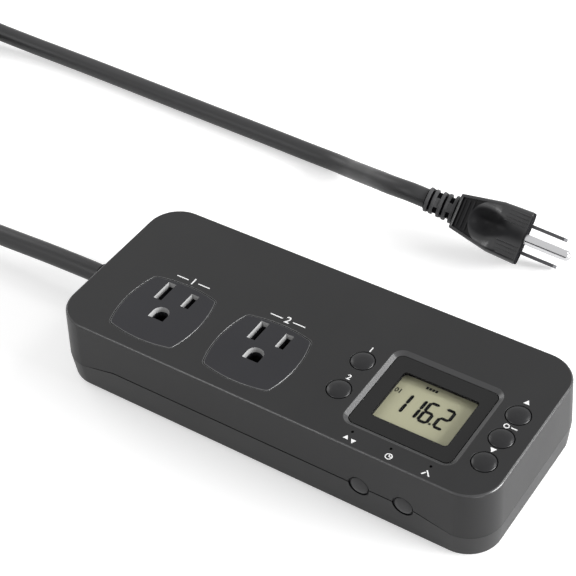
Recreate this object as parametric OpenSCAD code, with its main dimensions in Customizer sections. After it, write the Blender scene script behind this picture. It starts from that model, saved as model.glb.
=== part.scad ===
// Surge protector: two switched outlets, a voltage display, two reset breakers and a coiled mains cord.
// Millimetres. +X runs from the cord end to the display end, -Y is the front with the reset caps, +Z is up.
// The origin is on the standing surface under the centre of the housing.

/* [Housing] */
// Length of the housing at its parting line
body_l = 202.4; // [200:0.2:240]
// Width of the housing at its parting line
body_w = 83.6; // [83:0.2:100]
// Height of the two closed shells
shell_h = 34; // [33.6:0.2:42]
// Radius of the upright corners at the parting line
corner_r = 14.5; // [12.5:0.5:16]
// Wall thickness of the sides of both shells
wall = 2.4; // [2.2:0.1:2.8]
// Thickness of the top face
roof_t = 2.4; // [2:0.1:2.6]
// Thickness of the bottom
floor_t = 2.4; // [2:0.1:3]
// How far the walls draw in from the parting line up to the top
draft_top = 0.8; // [0.3:0.1:1.2]
// How far the walls draw in from the parting line down to the bottom
draft_bottom = 0.9; // [0.3:0.1:1.5]
// Rounding of the edge round the top face
edge_r = 1; // [0.5:0.1:1.4]
// Rounding of the edge round the bottom
bottom_r = 0.8; // [0.4:0.1:1.4]

/* [Parting line] */
// Height of the lower shell at its two ends
lower_h = 11.2; // [10.8:0.1:11.6]
// Rise of the parting line along the middle of the long sides
arch_h = 3.4; // [2.6:0.1:3.8]
// Half the length of the raised stretch
arch_half = 70.5; // [70:0.5:74]
// Length of each slope beside the raised stretch
arch_run = 17.5; // [12:0.5:20]
// Open groove between the shells along the raised stretch
seam_gap = 0.6; // [0.3:0.1:0.8]
// Open groove between the shells at the ends
seam_end = 0.12; // [0.08:0.02:0.3]
// Height of the lip that rises from the lower shell inside the upper one
lip_h = 1.8; // [1.2:0.1:2.2]

/* [Outlets] */
// Blade centre of the first outlet from the cord end
outlet_end = 39.8; // [39:0.2:42]
// Distance between the two outlets
outlet_pitch = 46.6; // [44:0.2:48]
// Blade line from the front
outlet_front = 35.4; // [35:0.2:38]
// Distance between the blade slots of one outlet
blade_gap = 12.7; // [12.6:0.05:12.8]
// Distance from the blade line to the ground hole
ground_drop = 11.9; // [11.8:0.05:12]
// Width of a blade slot at the face
slot_w = 3.8; // [3.4:0.1:4]
// Length of the neutral slot at the face
neutral_l = 10.8; // [10:0.1:11.2]
// Length of the line slot at the face
line_l = 8.4; // [8:0.1:9]
// Bevel round each slot
slot_bevel = 0.6; // [0.4:0.05:0.7]
// Half the width of an outlet face across its middle
face_half_x = 19.6; // [19:0.1:20]
// Half the height of an outlet face across its middle
face_half_y = 17.8; // [17.4:0.1:18]
// Groove round an outlet face
face_gap = 0.25; // [0.15:0.05:0.4]

/* [Display] */
// Centre of the display from the far end
display_end = 44.6; // [44:0.2:48]
// Centre of the display from the front
display_front = 33.2; // [33:0.2:35]
// Length of the display recess at the top face
recess_l = 49; // [46:0.2:50]
// Width of the display recess at the top face
recess_w = 45; // [43:0.2:46]
// Width of the sloping border of the recess
recess_border = 1.9; // [1.4:0.1:2.4]
// Depth of the display window below the top face
recess_d = 1.2; // [0.8:0.1:1.6]
// Thickness of the display window
window_t = 1.5; // [1:0.1:1.8]
// Length of the view opening
view_l = 32.8; // [30:0.2:34]
// Width of the view opening
view_w = 26.2; // [24:0.2:28]

/* [Buttons] */
// Diameter of the push buttons
button_d = 9.8; // [9:0.1:10.2]
// Gap round a push button
button_gap = 0.25; // [0.2:0.05:0.4]
// Height of a push button's dome
dome_h = 1; // [0.6:0.1:1.4]
// Travel of a push button
button_travel = 0.5; // [0.3:0.05:0.6]
// Distance of the right column of buttons from the far end
column_end = 11.55; // [11.2:0.05:13]
// Distance between the buttons of the right column
column_pitch = 13.5; // [13:0.1:14]
// Distance between the two left buttons
pair_pitch = 17.7; // [15:0.1:19]
// Diameter of a reset cap
reset_d = 8; // [7:0.1:8.2]
// Diameter of the hole in the front for a reset breaker
reset_hole = 9.2; // [9.1:0.05:9.6]
// First reset cap from the far end
reset_end = 54; // [53.5:0.5:56]
// Distance between the two reset caps
reset_pitch = 19.3; // [18.5:0.1:20]

/* [Cord and plug] */
// Diameter of the cord
cord_d = 9; // [8.6:0.1:9]
// Half the width across the blades' faces of the plug body
plug_half = 12.2; // [11.6:0.1:12.6]
// Length of the plug body
plug_l = 33; // [32:0.2:35]
// Length of the plug's blades
blade_l = 16.9; // [15.9:0.1:18.3]
// Length of the plug's ground pin
pin_l = 21.6; // [20.5:0.1:22.5]
// Diameter of the plug's ground pin
pin_d = 4.8; // [4.7:0.05:4.85]

/* [Hidden] */
$fn = 48;
e = 0.01;

// Levels
foot_h = 2;
top_z = foot_h + shell_h;
floor_z = foot_h + floor_t;
roof_z = top_z - roof_t;
part_z = foot_h + lower_h;
lap = wall / 2;
fit = 0.1;

// Ends of the housing
x0 = -body_l / 2;
x1 = body_l / 2;
y0 = -body_w / 2;
y1 = body_w / 2;

// Outlets
out_x = [x0 + outlet_end, x0 + outlet_end + outlet_pitch];
blade_y = y0 + outlet_front;
face_dx = 0.2;
face_dy = -10.4;
bow_x = 47;
bow_y = 59;
face_corner = let (a = [face_half_x - bow_x, 0], b = [0, face_half_y - bow_y], d = norm(b - a), u = (b - a) / d,
    k = (bow_x * bow_x - bow_y * bow_y + d * d) / (2 * d)) a + k * u + sqrt(bow_x * bow_x - k * k) * [-u[1], u[0]];
face_t = 4.2;
face_lip = 1.5;
face_lip_z = roof_z - 1.8;
bevel_d = 2;
ground_w = 7.4;
carrier_t = 3;
carrier_top = 15;
carrier_z = carrier_top - carrier_t;
carrier_x0 = out_x[0] + face_dx - 21;
carrier_x1 = out_x[1] + face_dx + 21;
skirt_x = 16;
skirt_front = 13;
skirt_back = 16.8;
skirt_t = 1.5;
shaft_t = 1.2;
shaft_w = 5.6;
shaft_gap = 0.6;
post_r = 2.7;
post_at = [[12.3, -9.6], [-12.7, -9.6], [-0.2, 13]];
strip_t = 0.8;
strip_w = 2;
tab_w = 4.8;
bus_y = blade_y + face_dy + skirt_back + 0.4;
ground_bus_y = blade_y - ground_drop - 5.4;
leaf_t = 0.5;

// Display stack, from the window down to the display board
display_x = x1 - display_end;
display_y = y0 + display_front;
glass_z = top_z - recess_d;
ledge_t = 1;
ledge_w = 2;
window_l = recess_l - 2 * recess_border;
window_w = recess_w - 2 * recess_border;
window_r = 3.2;
ledge_z = glass_z - window_t - ledge_t;
frame_top = glass_z - window_t - 0.2;
frame_t = 1.2;
frame_wall = 1.3;
frame_l = window_l - 2 * ledge_w - 0.4;
frame_w = window_w - 2 * ledge_w - 0.4;
view_dy = 1.3;
lcd_t = 2.6;
strip_h = 1.3;
lcd_l = frame_l - 2 * frame_wall - 0.2;
lcd_w = frame_w - 2 * frame_wall - 0.2;
board_t = 1.6;
board_top = frame_top - frame_t - lcd_t - strip_h;
board_z = board_top - board_t;
dboard_x0 = display_x - recess_l / 2 - 15.1;
dboard_x1 = x1 - 5.2;
dboard_y0 = y0 + 4.4;
dboard_y1 = display_y + recess_w / 2 + 3.1;
dboss = [[dboard_x0 + 3.4, dboard_y0 + 3.6], [dboard_x0 + 3.4, dboard_y1 - 5.4],
         [x1 - 17.7, dboard_y0 + 3.3], [x1 - 15.2, dboard_y1 - 3.5]];
dboss_r = 2.4;

// Push buttons
hole_r = button_d / 2 + button_gap;
tact_w = 6;
tact_h = 3.5;
tact_up = 0.8;
plunger_r = 1.75;
lip_r = hole_r + 0.7;
lip_t = 0.8;
left_x = display_x - 32.6;
right_x = x1 - column_end;
buttons = [[left_x, display_y + 8.75], [left_x, display_y + 8.75 - pair_pitch],
           [right_x, display_y + 13.65], [right_x, display_y + 13.65 - column_pitch],
           [right_x, display_y + 13.65 - 2 * column_pitch]];
lamp_y = y0 + 7.9;
lamp_x = [display_x - 16.4, display_x + 0.4, display_x + 17.4];
lamp_r = 1.5;

// Reset breakers on the raised parting line
reset_z = part_z + arch_h;
reset_x = [x1 - reset_end, x1 - reset_end + reset_pitch];
breaker_w = 16;
breaker_l = 28;
breaker_h = 14;
breaker_y = y0 + wall + 0.5;
neck_r = reset_hole / 2 - 0.1;
neck_bore = reset_d / 2 + 0.08;
reset_travel = 2;
tab_dx = 4.5;
tab_l = 6.5;

// Main board
mboard_l = 74;
mboard_w = 45;
mboard_x = x1 - 91.2;
mboard_y = y0 + 33.8;
mboard_z = floor_z + 4;
mboard_top = mboard_z + board_t;
relay_x = [18, 39];
standoffs = [[4, 4], [mboard_l - 4, 4], [4, mboard_w - 4], [mboard_l - 4, mboard_w - 4]];

// Case screws
case_dx = 10.7;
case_dy = 10.3;
case_at = [for (sx = [-1, 1], sy = [-1, 1]) [sx * (body_l / 2 - case_dx), sy * (body_w / 2 - case_dy)]];
well_r = 3.4;
well_h = 5;
well_wall = 1.3;
shank_r = 1.4;
foot_r = 6;
foot_seat = 0.6;
foot_at = [for (sx = [-1, 1], sy = [-1, 1]) [sx * (body_l / 2 - 25), sy * (body_w / 2 - 10.8)]];

// Cord entry, centred on the parting line of the cord end
cord_r = cord_d / 2;
cord_y = 6.8;
cord_z = part_z;
bush_out = 13.8;
bush_neck = 5.8;
bush_flange = 7.4;
bush_in = wall + draft_bottom - 0.1;
bush_pad = 2.4;
jacket_x1 = x0 + 16.2;
clamp_x = x0 + 11.2;
clamp_w = 6;
clamp_half = 12.6;
clamp_screw = 9;

// Cord on the standing surface: free stretches by hand, and a coil past the cord end
tie_t = 0.8;
coil_c = [-330, 78];
coil_r0 = 58;
coil_step = 9.6;
coil_layer = 9.6;
coil_turns = 4.5;
coil_z = tie_t + 0.1 + 4.5;
near_pts = [[x0 - bush_out, cord_y, cord_z], [-124, 6.8, 13.2], [-145, 6.8, 12.6], [-160, 6.8, 11.8],
            [-175, 7, 10.8], [-195, 7.6, 9.4], [-220, 9.4, 7.6], [-245, 12, 6.3], [-270, 15.2, 5.6],
            [-295, 18.2, 5.4], [-318, 20, 5.4], [-330, 20, 5.4]];
// Plug: it leans on one blade's tip, and its cord holds the other end up
plug_at = [34.9, 120.1, 13.6];
plug_turn = 9.3;
plug_tilt = 12;
plug_roll = 46.9;
plug_high = 12.4;
plug_low = 10;
plug_rear = 8;
plug_rear_high = 7.8;
shoulder = 13.6;
shoulder_in = 0.5;
rail_w = 1.2;
rail_h = 0.8;
hollow_r = 9;
hollow_x = -19;
hollow_depth = 2.5;
hollow_rise = 8.4;
relief_l = 14.8;
relief_rings = [[1.4, 6.5], [4.7, 6.2], [7.4, 6], [10.9, 5.8], [13.6, 5.7]];
ring_w = 1.5;
blade_t = 1.5;
blade_w = 6.3;
blade_low = -4.5;
pin_shank = pin_d / 2 - 0.5;
pin_neck = 0.3;

plug_dir = [cos(plug_turn) * cos(plug_tilt), sin(plug_turn) * cos(plug_tilt), -sin(plug_tilt)];
plug_end = plug_at - (plug_l + relief_l) * plug_dir;
far_pts = [[-330, 136, 15], [-318, 136, 15], [-305, 136, 13], [-292, 136, 10], [-270, 137.8, 7.2],
           [-250, 139, 5.6], [-230, 139.3, 4.9], [-210, 139, 4.6], [-180, 138, 4.6], [-150, 137, 4.6],
           [-127, 136.3, 4.6], [-107, 135.6, 4.6], [-88.5, 134.9, 4.6], [-74.6, 133.9, 5.2], [-63.5, 130.5, 7.9],
           [-53.8, 125.2, 12.6], [-45.8, 120.8, 16.6], [-37.9, 116.3, 20.7], [-29.1, 112.8, 23.7],
           plug_end - 8 * plug_dir, plug_end];

housing_grey = "#3d3d3f";
panel_black = "#1b1b1d";
brass = "#c8a24a";
steel = "#c9ccd0";

// Rounded rectangle
module rounded(l, w, r) {
    square([l - 2 * r, w], center = true);
    square([l, w - 2 * r], center = true);
    for (sx = [-1, 1], sy = [-1, 1]) translate([sx * (l / 2 - r), sy * (w / 2 - r)]) circle(r);
}

module block(l, w, h, r = 0.6) linear_extrude(h) rounded(l, w, r);

// One level of the housing's form, drawn in by inset
module level(z, inset) translate([0, 0, z]) linear_extrude(e, $fn = 32)
    rounded(body_l - 2 * inset, body_w - 2 * inset, corner_r - inset);

// Outer form of the closed housing, widest at the parting line, with rounded top and bottom edges
module outer_form() hull() {
    level(foot_h, draft_bottom + bottom_r);
    level(foot_h + bottom_r * 0.3, draft_bottom + bottom_r * 0.3);
    level(foot_h + bottom_r, draft_bottom);
    level(part_z, 0);
    level(top_z - edge_r, draft_top);
    level(top_z - edge_r * 0.6, draft_top + edge_r * 0.08);
    level(top_z - edge_r * 0.3, draft_top + edge_r * 0.3);
    level(top_z - edge_r * 0.08, draft_top + edge_r * 0.6);
    level(top_z - e, draft_top + edge_r);
}

// The same form drawn in, without rounded edges
module inner_form(inset, low, high) hull() {
    level(low, inset + draft_bottom);
    level(part_z, inset);
    level(high - e, inset + draft_top);
}

module cavity() inner_form(wall, floor_z, roof_z);

// Parting line seen from the front, raised along the middle of the long sides
function seam(mid, end) = [
    [-body_l, part_z + end], [-arch_half - arch_run, part_z + end], [-arch_half, part_z + arch_h + mid],
    [arch_half, part_z + arch_h + mid], [arch_half + arch_run, part_z + end], [body_l, part_z + end]];

module below_seam(mid, end) rotate([90, 0, 0]) linear_extrude(2 * body_w, center = true)
    polygon(concat(seam(mid, end), [[body_l, -shell_h], [-body_l, -shell_h]]));

module above_seam(mid, end) rotate([90, 0, 0]) linear_extrude(2 * body_w, center = true)
    polygon(concat(seam(mid, end), [[body_l, 2 * shell_h], [-body_l, 2 * shell_h]]));

// Barrel-shaped outlet face: four bowed sides, and a circle that takes the points off its corners
module barrel(grow) intersection() {
    translate([face_half_x - bow_x, 0]) circle(bow_x + grow, $fn = 200);
    translate([bow_x - face_half_x, 0]) circle(bow_x + grow, $fn = 200);
    translate([0, face_half_y - bow_y]) circle(bow_y + grow, $fn = 200);
    translate([0, bow_y - face_half_y]) circle(bow_y + grow, $fn = 200);
    circle(norm(face_corner) - 0.25 + grow, $fn = 120);
}

module at_outlet(k) translate([out_x[k] + face_dx, blade_y + face_dy, 0]) children();

// Slot centres relative to an outlet face's centre
function blade_at(s) = [s * blade_gap / 2 - face_dx, -face_dy];
ground_at = [-face_dx, -face_dy - ground_drop];

// Ground hole: half round behind, straight in front
module ground_hole(w) {
    r = w / 2;
    intersection() {
        circle(r);
        translate([-r, 0]) square([w, r]);
    }
    translate([-r, 0.2 - r]) square([w, r - 0.2]);
}

module ground_bevel() {
    r = ground_w / 2;
    b = slot_bevel;
    intersection() {
        cylinder(r1 = r - b, r2 = r, h = bevel_d);
        translate([-r, 0, 0]) cube([ground_w, r, bevel_d]);
    }
    hull() {
        translate([-r, 0.2 - r, bevel_d]) cube([ground_w, r - 0.2, e]);
        translate([b - r, 0.2 + b - r, 0]) cube([ground_w - 2 * b, r - 0.2 - b, e]);
    }
}

// A slot that narrows from the face down
module bevelled(l, w, d, bevel) hull() {
    translate([-w / 2, -l / 2, -e]) cube([w, l, 2 * e]);
    translate([-w / 2 + bevel, -l / 2 + bevel, -d]) cube([w - 2 * bevel, l - 2 * bevel, e]);
}

module outlet_slots(top) {
    for (s = [[-1, neutral_l], [1, line_l]]) translate([blade_at(s[0])[0], blade_at(s[0])[1], top]) {
        bevelled(s[1], slot_w, bevel_d, slot_bevel);
        translate([-slot_w / 2 + slot_bevel, -s[1] / 2 + slot_bevel, -face_t - 1])
            cube([slot_w - 2 * slot_bevel, s[1] - 2 * slot_bevel, face_t]);
    }
    translate([ground_at[0], ground_at[1], top]) {
        translate([0, 0, -bevel_d]) ground_bevel();
        translate([0, 0, -face_t - 1]) linear_extrude(face_t) ground_hole(ground_w - 2 * slot_bevel);
    }
}

// Holes of the front wall, half in each shell
module reset_holes() for (x = reset_x) translate([x, y0 + wall + 1, reset_z]) rotate([90, 0, 0])
    cylinder(r = reset_hole / 2, h = wall + 3);

// Upper shell
module top_cover() color(housing_grey) difference() {
    union() {
        difference() {
            intersection() {
                outer_form();
                above_seam(seam_gap, seam_end);
            }
            cavity();
            intersection() {
                inner_form(lap, floor_z, roof_z);
                below_seam(seam_gap + lip_h + fit, seam_end + lip_h + fit);
            }
        }
        translate([display_x, display_y, ledge_z])
            block(window_l + 3, window_w + 3, roof_z - ledge_z + e, window_r + 1.5);
        for (p = case_at) translate([p[0], p[1], part_z + seam_end]) cylinder(r = 3.4, h = roof_z - part_z);
        for (p = dboss) translate([p[0], p[1], board_top]) cylinder(r = dboss_r, h = roof_z - board_top + e);
    }
    for (k = [0, 1]) at_outlet(k) translate([0, 0, roof_z - 1]) linear_extrude(roof_t + 2) barrel(face_gap);
    translate([display_x, display_y, 0]) {
        hull() {
            translate([0, 0, top_z]) linear_extrude(e, $fn = 32) rounded(recess_l, recess_w, 5);
            translate([0, 0, glass_z]) linear_extrude(e, $fn = 32) rounded(window_l, window_w, window_r);
        }
        translate([0, 0, glass_z - window_t]) block(window_l, window_w, window_t + e, window_r);
        translate([0, 0, ledge_z - 1])
            block(window_l - 2 * ledge_w, window_w - 2 * ledge_w, roof_t + 2, 1.5);
    }
    for (b = buttons) translate([b[0], b[1], 0]) {
        translate([0, 0, roof_z - 1]) cylinder(r = hole_r, h = roof_t + 2);
        translate([0, 0, top_z - 0.3]) cylinder(r1 = hole_r, r2 = hole_r + 0.35, h = 0.3 + e);
    }
    for (x = lamp_x) translate([x, lamp_y, roof_z - 1]) cylinder(r = 0.6, h = roof_t + 2, $fn = 24);
    for (p = case_at) translate([p[0], p[1], part_z - 1]) cylinder(r = shank_r + 0.05, h = 14);
    for (p = dboss) translate([p[0], p[1], board_top - 1]) cylinder(r = 1.05, h = 5.4);
    reset_holes();
    translate([x0 - 2, cord_y, cord_z]) rotate([0, 90, 0]) cylinder(r = bush_neck + fit, h = wall + 3);
}

// Lower shell
module bottom_cover() color(housing_grey) difference() {
    union() {
        difference() {
            union() {
                intersection() {
                    outer_form();
                    below_seam(0, 0);
                }
                intersection() {
                    inner_form(lap + fit, floor_z, roof_z);
                    below_seam(lip_h, lip_h);
                }
            }
            cavity();
        }
        for (p = case_at) translate([p[0], p[1], foot_h]) cylinder(r = well_r + well_wall, h = well_h + 1.2);
        for (p = case_at) translate([p[0], p[1], foot_h]) cylinder(r = 3.4, h = lower_h);
        for (s = standoffs) translate([mboard_x + s[0], mboard_y + s[1], foot_h + 1])
            cylinder(r = 3, h = mboard_z - foot_h - 1);
        for (x = out_x, s = [-1, 1]) translate([x + s * 5, blade_y + face_dy, foot_h + 1])
            cylinder(r = 2.6, h = carrier_z - foot_h - 1);
        for (y = [6, 23]) translate([reset_x[0] - 9, breaker_y + y, foot_h + 1])
            cube([reset_pitch + 18, 1.6, reset_z - breaker_h / 2 - foot_h - 1]);
        translate([clamp_x - clamp_w / 2, cord_y - clamp_half, foot_h + 1])
            cube([clamp_w, 2 * clamp_half, cord_z - foot_h - 1]);
    }
    for (p = case_at) translate([p[0], p[1], foot_h - 1]) {
        cylinder(r = well_r, h = well_h + 1);
        cylinder(r = shank_r + 0.3, h = lower_h + 2);
    }
    for (s = standoffs) translate([mboard_x + s[0], mboard_y + s[1], floor_z]) cylinder(r = 1.15, h = 5);
    for (p = foot_at) translate([p[0], p[1], foot_h - 1]) cylinder(r = foot_r + fit, h = 1 + foot_seat);
    reset_holes();
    translate([x0 - 2, cord_y, cord_z]) rotate([0, 90, 0]) cylinder(r = bush_neck + fit, h = wall + 3);
    translate([clamp_x - clamp_w, cord_y, cord_z]) rotate([0, 90, 0]) cylinder(r = cord_r + fit, h = 2 * clamp_w);
    for (s = [-1, 1]) translate([clamp_x, cord_y + s * clamp_screw, cord_z - 8]) cylinder(r = 1.25, h = 9);
}

// Outlet face with its skirt and contact shafts
module shaft(c, l, w) translate([c[0] - w / 2, c[1] - l / 2]) square([w, l]);

module shafts(grow) {
    shaft(blade_at(-1), 11 + 2 * grow, shaft_w + 2 * grow);
    shaft(blade_at(1), 9.4 + 2 * grow, shaft_w + 2 * grow);
    shaft(ground_at, 8.4 + 2 * grow, 8.4 + 2 * grow);
}

module outlet_face(k) color(panel_black) at_outlet(k) difference() {
    union() {
        translate([0, 0, face_lip_z]) linear_extrude(top_z - face_lip_z) barrel(0);
        translate([0, 0, face_lip_z]) linear_extrude(roof_z - face_lip_z) barrel(face_lip);
        translate([0, 0, carrier_top]) linear_extrude(face_lip_z - carrier_top + e) {
            difference() {
                translate([-skirt_x, -skirt_front]) square([2 * skirt_x, skirt_front + skirt_back]);
                translate([-skirt_x + skirt_t, -skirt_front + skirt_t])
                    square([2 * (skirt_x - skirt_t), skirt_front + skirt_back - 2 * skirt_t]);
            }
        }
        translate([0, 0, carrier_top + shaft_gap + 1.6])
            linear_extrude(face_lip_z - carrier_top - shaft_gap - 1.6 + e) difference() {
                intersection() {
                    shafts(shaft_t);
                    translate([-skirt_x, -skirt_front]) square([2 * skirt_x, skirt_front + skirt_back]);
                }
                shafts(0);
            }
        for (p = post_at) translate([p[0], p[1], carrier_top]) cylinder(r = post_r, h = face_lip_z - carrier_top + e);
    }
    outlet_slots(top_z);
    for (p = post_at) translate([p[0], p[1], carrier_top - 1]) cylinder(r = 1.15, h = 10);
    translate([0, 0, carrier_top - 1]) linear_extrude(1 + strip_t + 0.2) strip_notches();
}

// Notches in the skirt over the contact strips
module strip_notches() {
    translate([-skirt_x - 1, ground_bus_y - blade_y - face_dy - 0.2]) square([2 * skirt_x + 2, strip_w + 1.4]);
    translate([blade_at(1)[0], blade_at(1)[1] - tab_w / 2 - 0.2]) square([skirt_x, tab_w + 0.4]);
    translate([blade_at(-1)[0] - tab_w / 2 - 0.2, blade_at(-1)[1]]) square([tab_w + 0.4, skirt_back]);
}

module outlet_face_1() outlet_face(0);
module outlet_face_2() outlet_face(1);

// Twin-leaf contact for a blade, leaves pinched above the middle
module leaf_pair(h, w) for (s = [-1, 1]) scale([s, 1, 1]) translate([0, w / 2, 0]) rotate([90, 0, 0])
    linear_extrude(w) polygon([[1.9, 0], [1.9 + leaf_t, 0], [1.9 + leaf_t, h * 0.5], [0.6 + leaf_t, h * 0.8],
        [1.6 + leaf_t, h], [1.6, h], [0.6, h * 0.8], [1.9, h * 0.5]]);

module line_contact(k) color(brass) translate([out_x[k] + blade_gap / 2, blade_y, carrier_top]) {
    translate([-tab_w / 2, -3.5, 0]) cube([tab_w, 7, strip_t]);
    translate([0, -tab_w / 2, 0]) cube([13.4, tab_w, strip_t]);
    translate([0, 0, strip_t - e]) leaf_pair(14, 6);
}

module line_contact_1() line_contact(0);
module line_contact_2() line_contact(1);

module neutral_bus() color(brass) {
    translate([carrier_x0 + 1, bus_y, carrier_top]) cube([outlet_pitch + 18, strip_w, strip_t]);
    for (k = [0, 1]) translate([out_x[k] - blade_gap / 2, blade_y, carrier_top]) {
        translate([-tab_w / 2, -3.5, 0]) cube([tab_w, bus_y - blade_y + 3.6, strip_t]);
        translate([0, 0, strip_t - e]) leaf_pair(14, 7);
    }
}

module ground_bus() color(brass) {
    translate([carrier_x0 + 0.8, ground_bus_y, carrier_top]) cube([outlet_pitch + 24, strip_w + 1, strip_t]);
    for (x = out_x) translate([x, blade_y - ground_drop, carrier_top]) {
        translate([-2.5, -5, 0]) cube([5, 8, strip_t]);
        difference() {
            cylinder(r = 3.1, h = 12);
            translate([0, 0, strip_t]) cylinder(r = 2.5, h = 12);
            translate([-0.5, -4, strip_t + 1]) cube([1, 4, 12]);
        }
    }
}

// Carrier plate that closes both outlets from below and holds the contacts
module carrier_holes(r, h) for (k = [0, 1]) at_outlet(k) for (p = post_at)
    translate([p[0], p[1], 0]) cylinder(r = r, h = h);

module contact_carrier() color("#d8d4c8") difference() {
    translate([carrier_x0, blade_y + face_dy - skirt_front - 1, carrier_z])
        cube([carrier_x1 - carrier_x0, skirt_front + skirt_back + strip_w + 2.4, carrier_t]);
    translate([0, 0, carrier_z - 1]) carrier_holes(1.4, carrier_t + 2);
}

module screw(head_r, head_h, r, l) {
    difference() {
        cylinder(r = head_r, h = head_h);
        for (a = [0, 90]) rotate([0, 0, a]) translate([-head_r * 0.55, -0.35, -e]) cube([head_r * 1.1, 0.7, head_h / 2]);
    }
    translate([0, 0, head_h - e]) cylinder(r = r, h = l);
}

module carrier_screws() color(steel) for (k = [0, 1]) at_outlet(k) for (p = post_at)
    translate([p[0], p[1], carrier_z - 1.8]) screw(2.3, 1.8, 1.1, 10);

// Display window, frame, panel and board
module display_window() color([0.1, 0.1, 0.11, 0.45]) translate([display_x, display_y, glass_z - window_t])
    block(window_l - 0.3, window_w - 0.3, window_t, window_r - 0.15);

module display_frame() color(panel_black) translate([display_x, display_y, 0]) difference() {
    translate([0, 0, board_top]) block(frame_l, frame_w, frame_top - board_top, 1.3);
    translate([0, 0, board_top - 1]) block(lcd_l + 0.2, lcd_w + 0.2, frame_top - frame_t - board_top + 1);
    translate([0, view_dy, board_top]) block(view_l, view_w, frame_top - board_top + 1, 1.5);
}

module lcd_panel() color("#a3a184") translate([display_x, display_y, board_top + strip_h]) {
    block(lcd_l, lcd_w, lcd_t / 2);
    translate([0, 0.8, lcd_t / 2 - e]) block(lcd_l, lcd_w - 1.6, lcd_t / 2 + e);
}

module contact_strips() color("#d9a3a8") for (s = [-1, 1])
    translate([display_x - lcd_l / 2 + 1, display_y + s * (lcd_w / 2 - 2) - 1, board_top]) cube([lcd_l - 2, 2, strip_h]);

module display_board() color("#23603a") difference() {
    translate([0, 0, board_z]) linear_extrude(board_t) difference() {
        translate([(dboard_x0 + dboard_x1) / 2, (dboard_y0 + dboard_y1) / 2])
            rounded(dboard_x1 - dboard_x0, dboard_y1 - dboard_y0, 1.5);
        translate([x1 - case_dx - 5, dboard_y0 - 1]) square([20, case_dy - 4.4 + 5]);
    }
    for (p = dboss) translate([p[0], p[1], board_z - 1]) cylinder(r = 1.25, h = board_t + 2);
}

module control_chip() color(panel_black) translate([display_x + 8, display_y - 2, board_z - 2]) {
    block(12, 12, 1.8, 0.5);
    for (a = [0, 90, 180, 270], i = [-4:4]) rotate([0, 0, a]) translate([i - 0.2, 5.9, 0.8]) cube([0.4, 1.2, 1.2]);
}

module indicator_lamps() color("#b9d8c0") for (x = lamp_x) translate([x, lamp_y, board_top]) {
    cylinder(r = lamp_r + 0.3, h = 1);
    cylinder(r = lamp_r, h = roof_z - board_top - lamp_r - 0.2);
    translate([0, 0, roof_z - board_top - lamp_r - 0.2]) sphere(lamp_r, $fn = 24);
}

module tact_switches() color("#2a2a2c") for (b = buttons) translate([b[0], b[1], board_top]) difference() {
    block(tact_w, tact_w, tact_h, 0.4);
    translate([0, 0, tact_h - 1.7]) cylinder(r = plunger_r + fit, h = 2);
}

// Push button cap: a retaining lip under the roof, a domed face and a stem down to its switch
module button_cap(b) color(panel_black) translate([b[0], b[1], 0]) {
    translate([0, 0, board_top + tact_h + tact_up]) cylinder(r = 2.2, h = roof_z - board_top - tact_h - tact_up);
    translate([0, 0, roof_z - 0.1 - lip_t]) cylinder(r = lip_r, h = lip_t);
    translate([0, 0, roof_z - 0.2]) rotate_extrude() {
        r = button_d / 2;
        h = roof_t + 0.1;
        R = (r * r + dome_h * dome_h) / (2 * dome_h);
        intersection() {
            union() {
                square([r, h]);
                translate([0, h + dome_h - R]) circle(R, $fn = 200);
            }
            square([r, h + dome_h]);
        }
    }
}

module button_outlet_1() button_cap(buttons[0]);
module button_outlet_2() button_cap(buttons[1]);
module button_up() button_cap(buttons[2]);
module button_bypass() button_cap(buttons[3]);
module button_down() button_cap(buttons[4]);

module plunger(b) color("#8a2f2a") translate([b[0], b[1], board_top + tact_h - 0.9])
    cylinder(r = plunger_r, h = 0.9 + tact_up);

module plunger_outlet_1() plunger(buttons[0]);
module plunger_outlet_2() plunger(buttons[1]);
module plunger_up() plunger(buttons[2]);
module plunger_bypass() plunger(buttons[3]);
module plunger_down() plunger(buttons[4]);

// Main board and what it carries
module main_board() color("#2b6b43") difference() {
    translate([mboard_x, mboard_y, mboard_z]) cube([mboard_l, mboard_w, board_t]);
    for (s = standoffs) translate([mboard_x + s[0], mboard_y + s[1], mboard_z - 1]) cylinder(r = 1.4, h = board_t + 2);
    for (x = relay_x) translate([0, 0, mboard_z - 1]) relay_pins(x, 0.6, board_t + 2);
}

// Four pins of a relay, and with more room the board's holes for them
module relay_pins(x, r, h) for (sx = [-1, 1], sy = [-1, 1])
    translate([mboard_x + x + sx * 6.1, mboard_y + 35.8 + sy * 6, 0]) cylinder(r = r, h = h, $fn = 24);

module relay(x) color("#23508a") {
    translate([mboard_x + x, mboard_y + 35.8, mboard_top]) block(19, 15.4, 15, 0.8);
    translate([0, 0, mboard_z]) relay_pins(x, 0.5, board_t + 1);
}

module relay_1() relay(relay_x[0]);
module relay_2() relay(relay_x[1]);

module varistors() color("#2f5fa8") for (i = [0:2])
    translate([mboard_x + 53 + 6.5 * i, mboard_y + 25, mboard_top + 6.7]) rotate([0, 90, 0]) {
        cylinder(r = 6.4, h = 4, center = true);
        for (s = [-1, 1]) translate([0, s * 3.6, 0]) rotate([0, 90, 0]) cylinder(r = 0.4, h = 6.7, $fn = 24);
    }

module safety_capacitor() color("#c9a227") translate([mboard_x + 58.5, mboard_y + 37, mboard_top]) block(17, 8, 14, 0.8);

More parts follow.
